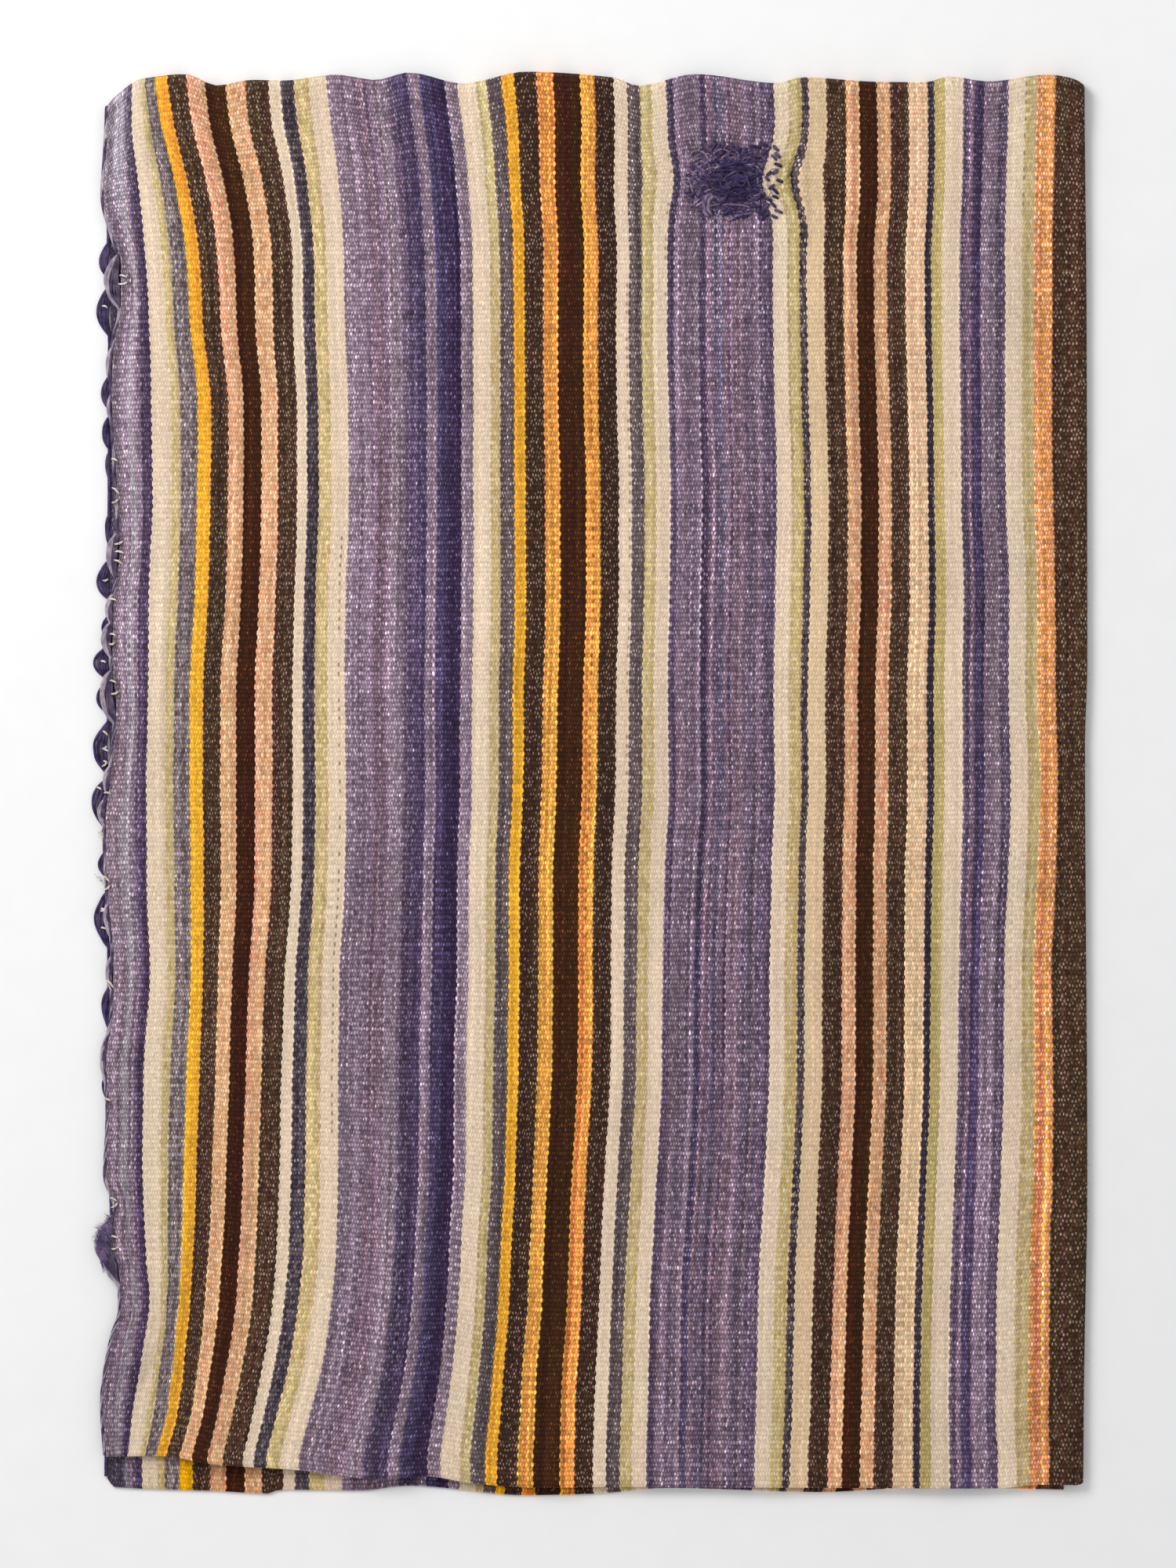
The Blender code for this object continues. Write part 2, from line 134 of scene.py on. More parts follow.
class DarnArc(NamedTuple):
    """A loop of yarn on the darn: its middle from the darn's own, its half sizes, its angles, and how
    many times as thick as the other yarn it is."""

    over: float
    under: float
    half_over: float
    half_under: float
    start: float
    stop: float
    thick: float


# The outline of the fold seen from above: plan, and how far it stands out past the fold's line
FOLD_LINE = (
    (0, -20), (5.6, -12.8), (12.2, -7.2), (23.4, -1.1), (54, 2.2), (76.2, -5.6), (101.3, -1.7),
    (123.5, -2.2), (159.7, 1.9), (189.2, -1.7), (212.6, 3.3), (250.4, -4.2), (296.1, 3.9), (357.3, 0),
    (375.1, -5.8), (415.7, 2.2), (474.1, -3.9), (492, 0), (546.5, -3.1), (579.9, -3.3), (595.5, 0.6),
    (624.4, -2.8), (666.1, 1.9), (682.8, -0.6), (690.6, -5), (693, -10),
)

# The two open ends seen from above: plan, distance down
UPPER_HEM = (
    (-3, 978), (38.4, 977.6), (72.3, 982.8), (138.6, 987.8), (156.9, 990), (188.1, 993.4), (223.7, 991.7),
    (259.3, 996.9), (302.2, 999.8), (368.4, 999.5), (628.8, 1000.5), (663.3, 997.6), (687.3, 998),
    (693, 995),
)
LOWER_HEM = (
    (-3.5, 990), (4.5, 999.9), (79, 1002.8), (112.4, 1004.5), (121.9, 1001.7), (179.2, 1002.3),
    (212.6, 998.9), (296, 1005.6), (346.1, 1004.5), (396.2, 1000.6), (504.7, 1003.4), (579.9, 1000),
    (677.8, 1001.7),
)

# The selvedges: distance down, and how far each lies to the right of where it was woven
UPPER_LEFT_EDGE = (
    (0, 0), (28, -0.5), (56, -2), (84, -3.7), (111, 2.5), (134, 9), (167, 8.4), (189, 3.4), (223, 2.3),
    (278, 5), (334, 7.8), (378, 3.4), (417, 2.8), (445, 5.6), (501, 0.6), (529, -2.2), (584, 0), (623, 3.4),
    (662, 2.8), (696, -1.7), (735, 0), (779, -1.7), (802, 5.4), (815, 2.6), (829, 3.2), (843, 7.2),
    (874, 8.9), (890, 3.9), (918, -1.7), (940, -3.9), (978, -1.7),
)
LOWER_LEFT_EDGE = (
    (0, 0), (60, 0), (200, 1.5), (500, 0.5), (800, 2.5), (845, 8), (875, 10.5), (900, 6), (925, -1),
    (1000, -1),
)
UPPER_RIGHT_EDGE = (
    (0, -1.5), (167, 0.4), (417, 1), (473, -0.6), (779, 1), (918, -1.2), (1000, -2),
)

# How far the upper layer has drifted to the right. Each row is a distance down, and then a drift
# for each of ten stripes, which lie at these distances across.
DRIFT_ACROSS = (27.8, 62.3, 123.5, 161.4, 257.1, 332.2, 424, 540.9, 641.1, 673)
UPPER_DRIFT = (
    (0, (-9.5, -25.5, -18.5, -14.5, -12, -2, -2.5, 0.5, -1, -2.5)),
    (33, (-10, -20.5, -15.5, -11, -7, -0.5, -1, 1.5, -2, -3)),
    (72, (-6, -11, -7, -5.5, -3, -1, -1.5, 2, -3, -3.5)),
    (128, (-0.5, -2.5, 0, -1.5, 0.5, 1.5, -1.5, -1, -4, -4.5)),
    (178, (2, 0.5, 0.5, -0.5, 1, 1, -1.5, -0.5, -4, -4.5)),
    (234, (3.5, 6, 3.5, 1.5, 1, 1.5, -0.5, 1, -4, -5)),
    (300, (4, 5.5, 3.5, 2, 1, 3, 1, 2.5, -3.5, -4)),
    (367, (1.5, 4, 2, -0.5, 1, 3, 0, 2, -1, -2.5)),
    (434, (1, 0, 0, -1, 0, 1, -1, 0, -1.5, -2)),
    (501, (0, 0, 0, 0, 0, 0, 0, 0, 0, -0.5)),
    (568, (0, 1, -1, -1, -2, -2.5, -3, -1.5, -2, -2)),
    (635, (2.5, 0.5, -5.5, -4.5, -2.5, -2.5, -5, -1.5, -4.5, -5)),
    (701, (-2, -2, -8, -5.5, -4, -3, -5.5, -1.5, -5, -4)),
    (768, (-3, -4, -9.5, -6, -4.5, -6.5, -8, -4, -6.5, -4)),
    (824, (-1, -6, -11.5, -6.5, -7.5, -9, -11.5, -6.5, -8.5, -6)),
    (868, (2, -8.5, -14.5, -10.5, -9.5, -10.5, -14, -8, -10, -6.5)),
    (913, (-4.5, -12.5, -21.5, -17.5, -13.5, -13.5, -14.5, -9, -10.5, -6.5)),
    (946, (-10, -16.5, -28, -26, -18, -15, -15, -10, -10.5, -7)),
    (977, (-13.5, -25, -35, -34, -22.5, -16, -16, -11, -9, -6.5)),
)
LOWER_HEM_DRIFT = (-3.5, -7.5, -7.5, -3, -9, -15.5, -15.5, -15.5, -15.5, -15.5)
LOWER_RIGHT_DRIFT = -15.5

# The long soft folds of the upper layer
SOFT_FOLDS = tuple(
    SoftFold(*row)
    for row in (
        (40, 8, 52, 260, 3, 15), (165, 40, 160, 985, 2, 42), (272, 0, 276, 995, 3.4, 36),
        (400, 230, 404, 995, 2.2, 46), (520, 90, 512, 760, 1.8, 42), (636, 70, 640, 930, 2.2, 36),
        (22, 828, 78, 905, 3.6, 14), (30, 890, 96, 968, 3.2, 13), (88, 430, 96, 800, 1.6, 30),
    )
)

# Where the upper hem stands clear
HEM_LIFTS = tuple(
    HemLift(*row)
    for row in (
        (112, 3.4, 46), (222, 3, 40), (330, 1.6, 34), (470, 1.4, 52), (600, 1.6, 46), (676, 1.8, 24),
    )
)

# The short sharp creases that only the dressed cloth has: the pleat right of the darn, the creases
# by the lower left corner, the pocket behind the tuft, and the dents by the upper left corner
CREASES = tuple(
    Crease(*row)
    for row in (
        (491, 54, 492, 112, 2.6, 8), (480, 66, 481, 88, 1.6, 4.5), (487.5, 56, 484, 68, -4, 2.9),
        (484, 68, 485.5, 77, -4.2, 2.8), (485.5, 77, 489.5, 90, -4, 2.8), (489.5, 90, 495, 106, -3.2, 3),
        (37, 899, 26, 924, -2.2, 4), (30, 880, 20, 915, 1.6, 7), (12.5, 812, 16.5, 841, -2.2, 3.6),
        (9, 806, 9, 846, 1.6, 4.5), (31, 8.5, 45.5, 12.5, -2.6, 4), (24, 8, 27.5, 62, 1.8, 5),
        (29, 8, 32.5, 62, -1.6, 3.6), (16, 137, 18.5, 160, -2, 3), (8.5, 428, 7.5, 452, -1.6, 3),
        (3.4, 470, 2.4, 506, -1.3, 2), (7.2, 474, 6, 508, -1.4, 2), (12.8, 478, 11.4, 506, -1.2, 2.2),
        (70, 5, 70, 30, -1.6, 9), (10, 84, 12, 132, -1.4, 6),
    )
)

# Where the cord has worked loose: distance down, half length, how far it loops out
UPPER_LOOPS = tuple(
    LooseLoop(*row)
    for row in (
        (144.5, 18.5, 10.8), (204, 12, 2.6), (234, 8.5, 1.8), (338, 16, 7.6), (377, 10, 4.4),
        (398.6, 12.4, 6.4), (439.2, 18, 10), (498, 9, 3), (519.6, 9.5, 4.3), (597.5, 11, 2.6), (635, 11, 4),
        (696, 17, 2.5), (831, 24, 11.8),
    )
)
LOWER_LOOPS = tuple(
    LooseLoop(*row)
    for row in (
        (129.5, 11.5, 6), (165.4, 17, 7.9), (223.3, 11, 5.7), (252, 11, 5.1), (275, 8.5, 2),
        (320.4, 9.5, 2.5), (356.3, 13, 8), (390, 8, 4), (414.7, 11.2, 9.8), (439.2, 10.5, 8),
        (475.7, 18, 9.9), (515, 18, 11), (557.5, 9, 7), (596.5, 19.5, 9.3), (660, 14, 4.5), (694, 7, 5.5),
        (715, 11, 4.5),
    )
)

# Single ends of another colour that run in a stripe, as dashes: across, and from where to where down
STRAY_ENDS = tuple(
    StrayEnd(*row)
    for row in (
        (367, 150, 505, "#806652"), (164.5, 330, 780, "#806652"), (653, 0, 105, "#806652"),
        (396, 55, 170, "#806652"), (341, 184, 629, "#6b3412"),
    )
)

# The bits of cream weft that show at the left selvedge: distance down, how far each reaches in from
# the selvedge and out from it, and its slope. Where the reach in is below 0 it starts clear outside.
UPPER_WEFT_TURNS = tuple(
    WeftTurn(*row)
    for row in (
        (141, 4, 1, 0.3), (146, 5, 2, -0.2), (271.7, 2, 2.5, 0.4), (294, 2, 3.5, 0.9), (299.5, 1, 4, -0.5),
        (329.6, 3, 4, -0.3), (337, 3.5, 3, 0.2), (344, 3.5, 3.5, 0.5), (370.8, 2, 3, 0.2),
        (395.5, 2.5, 2, 0.3), (401, 2, 2.5, -0.2), (429, 2, 3, 0.4), (436, 2.5, 3, -0.3),
        (508, 2.5, 3, 0.2), (569, 2, 3.5, 0.8), (574, 2, 3, -0.6), (645, 1, 4.5, 1.1), (725.3, 2, 3, 0.3),
        (796, 2, 3, 0.5), (799, 2, 3, -0.7), (822, 4, 1, 0.3), (830, 5, 1.5, -0.4),
    )
)
LOWER_WEFT_TURNS = tuple(
    WeftTurn(*row)
    for row in (
        (164, -2, 6, 0.3), (355.2, -1, 5.5, -0.2), (416, -2.5, 6.5, 0.3), (467.6, -1, 5, 0.8),
        (473, -1.5, 5.5, -0.5), (478.5, -0.5, 5, 0.4), (484, -1.5, 5.5, -0.8), (487.5, -1, 4.5, 0.6),
        (508.2, -5.5, 9, 0.5), (530.5, -5, 8, -0.6), (541.6, -4, 7, 0.4), (575, -5.5, 11, 0.9),
        (588, -3, 7, -0.4), (592.8, -3, 6.5, 0.5), (605.1, -2.5, 6.5, 0.3), (677, -1, 4, 0.2),
        (718, -1, 4.5, -0.3),
    )
)

# Loops of thick mauve yarn that stand on the darn, as arcs
DARN_ARCS = tuple(
    DarnArc(*row)
    for row in (
        (-30.5, -18, 3.6, 2.8, 20, 330, 0.8), (-20, 18, 5, 8, 100, 290, 1.7),
        (-18.5, 18, 3.4, 6.4, 100, 290, 1.5), (-8, 20, 17, 3, 190, 345, 0.8),
        (-12, -19, 5, 3, 170, 380, 0.8),
    )
)


class Yarn(NamedTuple):
    """A dye lot of handspun wool: its colour, the colour of the odd fibres spun into it, the share of
    its floats that show one, and how far its ends differ in lightness."""

    colour: str
    fleck: str
    flecked: float
    streak: float


class Dye(Enum):
    """The dye lots of the warp."""

    CREAM = Yarn("#dec9b1", "#c4ac90", 0.10, 0.05)
    OLIVE_CREAM = Yarn("#cbb892", "#b8a478", 0.15, 0.08)
    OLIVE = Yarn("#b8a36e", "#cdbb8c", 0.18, 0.09)
    TAN = Yarn("#d9bf95", "#dcc5aa", 0.15, 0.05)
    WHEAT = Yarn("#d9be9c", "#cfb086", 0.18, 0.05)
    SLATE_PALE = Yarn("#8d8083", "#bdb0b0", 0.36, 0.20)
    SLATE = Yarn("#5e5152", "#a89c9d", 0.34, 0.22)
    SLATE_DARK = Yarn("#574d52", "#a0969a", 0.34, 0.20)
    SLATE_BLACK = Yarn("#332b35", "#7e757d", 0.28, 0.22)
    YELLOW = Yarn("#e6aa37", "#c4841e", 0.30, 0.12)
    HEATHER = Yarn("#4f3829", "#94806f", 0.62, 0.19)
    HEATHER_DARK = Yarn("#3d281c", "#8a786b", 0.52, 0.19)
    DARKEST = Yarn("#3c1e0c", "#6b4026", 0.22, 0.15)
    PINK = Yarn("#c98f68", "#b8704e", 0.28, 0.13)
    PINK_PALE = Yarn("#d9b08d", "#e8ccb0", 0.28, 0.12)
    ORANGE = Yarn("#e6a740", "#b0662f", 0.24, 0.16)
    ORANGE_PINK = Yarn("#c98150", "#f0c060", 0.30, 0.18)
    AMBER = Yarn("#cf8d3a", "#b8642c", 0.30, 0.18)
    ROSE = Yarn("#d59785", "#ecc4ae", 0.30, 0.18)
    LAVENDER = Yarn("#8e838d", "#bbb0b5", 0.30, 0.20)
    MAUVE_PALE = Yarn("#83717f", "#b6a8b0", 0.32, 0.23)
    MAUVE = Yarn("#776474", "#aa9da5", 0.32, 0.24)
    ROSE_MAUVE = Yarn("#7b6270", "#b0989f", 0.30, 0.24)
    SLATE_VIOLET = Yarn("#60566b", "#928a9d", 0.28, 0.24)
    VIOLET = Yarn("#69586a", "#9e919c", 0.32, 0.26)
    VIOLET_DARK = Yarn("#54465c", "#887b8a", 0.30, 0.26)
    PLUM = Yarn("#4c3848", "#856b7c", 0.22, 0.28)
    INDIGO = Yarn("#4a3b55", "#7b7085", 0.26, 0.26)
    NAVY = Yarn("#463c5a", "#786e88", 0.22, 0.24)
    INDIGO_DEEP = Yarn("#352742", "#695a78", 0.18, 0.24)


class Order(Enum):
    """How the two yarns of a stripe follow each other.

    In threes, every third end is of the odd yarn, which gives dots that stand between each other in
    turn. In pairs, two ends of one yarn lie beside two of the other, which gives slanting rows of
    dots. Carded yarns fall to chance, float by float, as if they were carded from two fleeces.
    """

    PAIRS = 1.0
    THREES = 0.8
    CARDED = 0.0


class Stripe(NamedTuple):
    """A stripe of the warp: how many ends it has, its yarn or two, and how they follow each other."""

    ends: int
    even: Dye
    second: Dye | None = None
    order: Order = Order.CARDED

    @property
    def odd(self) -> Dye:
        """The second yarn, or the first where the stripe has no other."""
        return self.second or self.even


WARPING_CHART = tuple(
    Stripe(*row)
    for row in (
        (7, Dye.MAUVE_PALE), (4, Dye.MAUVE, Dye.MAUVE_PALE), (6, Dye.LAVENDER),
        (3, Dye.MAUVE_PALE, Dye.MAUVE), (4, Dye.VIOLET, Dye.VIOLET_DARK), (4, Dye.INDIGO), (12, Dye.CREAM),
        (3, Dye.OLIVE_CREAM, Dye.CREAM), (6, Dye.OLIVE, Dye.OLIVE_CREAM), (11, Dye.SLATE_PALE, Dye.SLATE),
        (11, Dye.YELLOW), (13, Dye.HEATHER, Dye.HEATHER_DARK), (12, Dye.PINK, Dye.PINK_PALE),
        (14, Dye.DARKEST), (12, Dye.PINK, Dye.PINK_PALE), (15, Dye.HEATHER, Dye.HEATHER_DARK),
        (9, Dye.CREAM), (9, Dye.SLATE_DARK, Dye.SLATE_BLACK), (9, Dye.TAN, Dye.OLIVE), (14, Dye.CREAM),
        (6, Dye.MAUVE, Dye.MAUVE_PALE), (10, Dye.MAUVE_PALE, Dye.MAUVE), (3, Dye.MAUVE, Dye.VIOLET),
        (12, Dye.MAUVE, Dye.ROSE_MAUVE), (10, Dye.MAUVE_PALE), (3, Dye.VIOLET, Dye.MAUVE),
        (4, Dye.VIOLET_DARK), (4, Dye.INDIGO, Dye.VIOLET_DARK), (6, Dye.INDIGO),
        (8, Dye.MAUVE, Dye.MAUVE_PALE), (9, Dye.NAVY), (10, Dye.INDIGO_DEEP), (9, Dye.MAUVE_PALE),
        (13, Dye.CREAM), (7, Dye.OLIVE, Dye.OLIVE_CREAM), (9, Dye.SLATE), (9, Dye.YELLOW),
        (14, Dye.HEATHER_DARK), (11, Dye.ORANGE, Dye.ORANGE_PINK, Order.PAIRS), (19, Dye.DARKEST),
        (11, Dye.ORANGE, Dye.ORANGE_PINK, Order.PAIRS), (13, Dye.HEATHER_DARK), (11, Dye.CREAM),
        (10, Dye.SLATE), (9, Dye.OLIVE, Dye.OLIVE_CREAM), (11, Dye.CREAM), (5, Dye.VIOLET_DARK),
        (7, Dye.MAUVE), (8, Dye.VIOLET, Dye.MAUVE), (3, Dye.MAUVE_PALE, Dye.MAUVE),
        (5, Dye.INDIGO, Dye.VIOLET_DARK), (6, Dye.ROSE_MAUVE, Dye.VIOLET),
        (7, Dye.SLATE_VIOLET, Dye.VIOLET), (4, Dye.VIOLET, Dye.ROSE_MAUVE), (2, Dye.VIOLET_DARK, Dye.PLUM),
        (10, Dye.ROSE_MAUVE, Dye.MAUVE), (9, Dye.VIOLET), (3, Dye.MAUVE), (5, Dye.VIOLET_DARK, Dye.VIOLET),
        (4, Dye.VIOLET, Dye.VIOLET_DARK), (12, Dye.CREAM), (6, Dye.OLIVE_CREAM, Dye.OLIVE), (3, Dye.OLIVE),
        (5, Dye.SLATE_BLACK, Dye.SLATE), (13, Dye.WHEAT), (14, Dye.HEATHER, Dye.HEATHER_DARK),
        (9, Dye.PINK, Dye.PINK_PALE), (14, Dye.DARKEST), (10, Dye.PINK, Dye.PINK_PALE),
        (14, Dye.HEATHER, Dye.HEATHER_DARK), (14, Dye.WHEAT, Dye.PINK_PALE), (6, Dye.SLATE_BLACK),
        (8, Dye.OLIVE), (14, Dye.CREAM), (5, Dye.VIOLET_DARK, Dye.VIOLET), (4, Dye.VIOLET, Dye.ROSE_MAUVE),
        (7, Dye.INDIGO, Dye.NAVY), (4, Dye.MAUVE), (8, Dye.MAUVE, Dye.MAUVE_PALE),
        (6, Dye.VIOLET_DARK, Dye.VIOLET), (14, Dye.CREAM), (9, Dye.OLIVE, Dye.OLIVE_CREAM),
        (14, Dye.AMBER, Dye.ROSE, Order.THREES), (20, Dye.HEATHER, Dye.HEATHER_DARK),
    )
)
ENDS = sum(stripe.ends for stripe in WARPING_CHART)


def smooth(knots: Sequence[float], values: np.ndarray, at: np.ndarray) -> np.ndarray:
    """Reads a monotone cubic curve through the knots.

    Args:
        knots: the places of the knots, in rising order.
        values: a value for each knot, or a row of them, with one for each point of at.
        at: where to read the curve.

    Returns:
        The curve's value at each point.
    """
    knots = np.asarray(knots, float)
    values = np.asarray(values, float)
    at = np.asarray(at, float)
    if values.ndim == 1:
        values = np.broadcast_to(values.reshape((-1,) + (1,) * at.ndim), values.shape + at.shape)
    step = np.diff(knots).reshape((-1,) + (1,) * at.ndim)
    rise = np.diff(values, axis=0) / step
    product = rise[:-1] * rise[1:]
    total = rise[:-1] + rise[1:]
    slope = np.zeros(values.shape)
    slope[1:-1] = np.where(product > 0, 2 * product / np.where(total == 0, 1, total), 0)
    slope[0] = rise[0]
    slope[-1] = rise[-1]
    inside = np.clip(at, knots[0], knots[-1])
    first = np.clip(np.searchsorted(knots, inside) - 1, 0, len(knots) - 2)
    width = knots[first + 1] - knots[first]
    t = (inside - knots[first]) / width
    value, end_value = (np.take_along_axis(values, at_knot[None], 0)[0] for at_knot in (first, first + 1))
    bend, end_bend = (np.take_along_axis(slope, at_knot[None], 0)[0] for at_knot in (first, first + 1))
    ends = value * (2 * t**3 - 3 * t**2 + 1) + end_value * (3 * t**2 - 2 * t**3)
    return ends + width * (bend * (t**3 - 2 * t**2 + t) + end_bend * (t**3 - t**2))


def through(table: Iterable[tuple[float, float]], at: np.ndarray) -> np.ndarray:
    """Reads the curve of a table whose rows are a place and a value."""
    places, values = zip(*table)
    return smooth(places, np.array(values), at)


def ease(share: Any) -> Any:
    """Runs softly from 0 to 1 as share does."""
    t = np.clip(share, 0, 1)
    return t * t * (3 - 2 * t)


def hump(distance: Any, half_width: float) -> Any:
    """A soft hump, 1 in the middle and 0 from the half width on."""
    return np.cos(np.clip(np.abs(distance) / half_width, 0, 1) * math.pi / 2) ** 2


def linear(colour: str) -> tuple[float, float, float]:
    """Turns an sRGB hex colour into linear red, green and blue.

    Args:
        colour: the colour as #rrggbb.

    Returns:
        The three linear values, from 0 to 1.
    """
    shares = (int(colour[start : start + 2], 16) / 255 for start in (1, 3, 5))
    return tuple(share / 12.92 if share <= 0.04045 else ((share + 0.055) / 1.055) ** 2.4 for share in shares)


def add(tree: NodeTree, kind: str, inputs: dict[Any, Any] | None = None, **settings: Any) -> Node:
    """Adds a shader node with its settings and links.

    Args:
        tree: the node tree that gets it.
        kind: the node's type, without the word ShaderNode.
        inputs: for each input, by its name or its number, a value, another node's output, or
            another node, which stands for its first output.
        **settings: the node's own properties.

    Returns:
        The new node.
    """
    node = tree.nodes.new(f"ShaderNode{kind}")
    for name, value in settings.items():
        setattr(node, name, value)
    for key, value in (inputs or {}).items():
        value = value.outputs[0] if isinstance(value, Node) else value
        if isinstance(value, NodeSocket):
            tree.links.new(value, node.inputs[key])
        else:
            node.inputs[key].default_value = value
    return node


def blank_material(name: str) -> tuple[Material, NodeTree]:
    """A new material with an empty node tree."""
    material = bpy.data.materials.new(name)
    material.use_nodes = True
    material.node_tree.nodes.clear()
    return material, material.node_tree


def wool_surface(tree: NodeTree, colour: Node, height: Node, relief: float, sheen: float) -> None:
    """Ends a wool's node tree with its matt, slightly downy surface.

    Args:
        tree: the material's node tree.
        colour: the wool's colour.
        height: how high its surface stands, in shares of the relief.
        relief: the height of its relief, in millimetres.
        sheen: how much light its down catches.
    """
    inputs = {"Height": height, "Distance": relief * MM, "Strength": 1.0}
    inputs = {
        "Base Color": colour,
        "Roughness": 0.95,
        "Specular IOR Level": 0.2,
        "Sheen Weight": sheen,
        "Sheen Roughness": 0.5,
        "Normal": add(tree, "Bump", inputs),
    }
    add(tree, "OutputMaterial", {"Surface": add(tree, "BsdfPrincipled", inputs)})


def wisp(
    start: Sequence[float], heading: float, bend: float, length: float, heights: Sequence[float]
) -> Path:
    """The path of a loose hair, which turns as it runs out.

    Args:
        start: where it starts, in millimetres of the part's frame.
        heading: the way it starts out, in radians.
        bend: how far it has turned at its end.
        length: how far it reaches.
        heights: the height of each of its points.

    Returns:
        The points of its middle line.
    """
    path = []
    for share, height in zip(np.linspace(0, 1, len(heights)), heights):
        turned, step = heading + bend * share, length * share
        path.append((start[0] + step * math.cos(turned), start[1] + step * math.sin(turned), height))
    return path


@dataclass(frozen=True)
class ClothLay:
    """How the blanket lies: its outline, its drift to the side and its folds, as the solids have them."""

    width: float = CLOTH_WIDTH
    folded_length: float = 1000.0
    thickness: float = 2.5
    layer_gap: float = 2.0
    cord_reach: float = 13.0
    down_centre: float = 501.0
    soft_fold_end: float = 0.35
    soft_fold_taper: float = 4.0
    hem_lift_length: float = 95.0
    loop_height: float = 2.6
    loop_length: float = 46.0
    loop_share: float = 0.033
    ridge_floor: float = -6.0
    ridge_share: float = 0.62
    ridge_length: float = 150.0
    ridge_fall: float = 1.3
    darn_across: float = 447.0
    darn_down: float = 73.5
    darn_half_width: float = 36.0
    darn_half_length: float = 29.0
    darn_level: float = 2.4
    darn_flat_share: float = 1.6
    darn_fade_share: float = 2.2
    darn_pinches: tuple[Pinch, ...] = (Pinch(400.0, 20.0, 5.0), Pinch(482.0, 26.0, -10.0))
    darn_pinch_length: float = 21.0
    hem_curl: float = 1.6
    hem_curl_length: float = 16.0
    hem_curl_plan: float = 150.0
    hem_curl_half_width: float = 190.0
    cockle_height: float = 0.34
    cockle_across: float = 21.0
    cockle_along: float = 34.0

    @property
    def lower_level(self) -> float:
        """The height of the middle of the lower layer."""
        return self.thickness / 2

    @property
    def upper_level(self) -> float:
        """The lowest height of the middle of the upper layer."""
        return self.lower_level + self.thickness + self.layer_gap

    def drift_rows(self, rows: Iterable[Sequence[float]], across: np.ndarray) -> np.ndarray:
        """The drift for each row of a drift table at each distance across, edges left out."""
        return np.stack([smooth(DRIFT_ACROSS, row, across) for row in rows])

    def with_edges(self, inner: Any, left: Any, right: Any, across: np.ndarray) -> np.ndarray:
        """Joins the drift of the stripes to that of the two selvedges.

        Args:
            inner: the stripes' drift.
            left: the left selvedge's drift.
            right: the right selvedge's drift.
            across: the distances across.

        Returns:
            The joined drift.
        """
        first, last = DRIFT_ACROSS[0], DRIFT_ACROSS[-1]
        to_left = ease((first - across) / first)
        to_right = ease((across - last) / (self.width - last))
        return inner * (1 - to_left) * (1 - to_right) + left * to_left + right * to_right

    def darn_distance(self, across: np.ndarray, down: np.ndarray) -> np.ndarray:
        """How many of its own half sizes a point lies from the middle of the darn."""
        over = (across - self.darn_across) / self.darn_half_width
        return np.hypot(over, (down - self.darn_down) / self.darn_half_length)

    def darn_pinch(self, across: np.ndarray, down: np.ndarray) -> np.ndarray:
        """How far the darn has drawn the cloth beside it to the right."""
        shift = sum(
            pinch.shift * np.exp(-(((across - pinch.across) / pinch.half_width) ** 2))
            for pinch in self.darn_pinches
        )
        return shift * np.exp(-(((down - self.darn_down) / self.darn_pinch_length) ** 2))

    def upper_plan(self, across: np.ndarray, down: np.ndarray) -> np.ndarray:
        """Where points of the upper layer lie in plan."""
        places, rows = zip(*UPPER_DRIFT)
        inner = smooth(places, self.drift_rows(rows, across), down)
        left = through(UPPER_LEFT_EDGE, down)
        right = through(UPPER_RIGHT_EDGE, down)
        return across + self.with_edges(inner, left, right, across) + self.darn_pinch(across, down)

    def lower_plan(self, across: np.ndarray, down: np.ndarray) -> np.ndarray:
        """Where points of the lower layer lie in plan. They follow the upper ones at the fold."""
        fold = self.upper_plan(across, np.zeros_like(down)) - across
        hem_stripes = smooth(DRIFT_ACROSS, LOWER_HEM_DRIFT, across)
        left = through(LOWER_LEFT_EDGE, down)
        hem = self.with_edges(hem_stripes, left, LOWER_RIGHT_DRIFT, across)
        share = ease(down / self.folded_length)
        side = ease(1 - across / DRIFT_ACROSS[0])
        return across + (fold * (1 - share) + hem * share) * (1 - side) + left * side

    def fold_outline(self, across: np.ndarray) -> np.ndarray:
        """How far the fold stands out past its line at each distance across."""
        return through(FOLD_LINE, self.upper_plan(across, np.zeros_like(across)))

    def solid_lift(self, across: np.ndarray, down: np.ndarray) -> np.ndarray:
        """How far the upper layer stands above its lowest level in the solids."""
        below_fold = np.maximum(down, 0)
        ridge = self.ridge_share * np.maximum(self.fold_outline(across) - self.ridge_floor, 0)
        lift = ridge * np.exp(-((below_fold / self.ridge_length) ** self.ridge_fall))
        lift = lift + self.loop_height * np.exp(-below_fold / self.loop_length)
        for fold in SOFT_FOLDS:
            share = (down - fold.down) / (fold.end_down - fold.down)
            centre = fold.across + (fold.end_across - fold.across) * np.clip(share, 0, 1)
            length = ease(np.minimum(share, 1 - share) * self.soft_fold_taper + self.soft_fold_end)
            lift = lift + fold.height * length * hump(across - centre, fold.half_width)
        to_hem = through(UPPER_HEM, self.upper_plan(across, down)) - down
        for hem in HEM_LIFTS:
            near_hem = ease(1 - to_hem / self.hem_lift_length)
            lift = lift + hem.height * near_hem * hump(across - hem.across, hem.half_width)
        reach = self.darn_fade_share - self.darn_distance(across, down)
        flat = ease(reach / (self.darn_fade_share - self.darn_flat_share))
        return lift * (1 - flat) + self.darn_level * flat

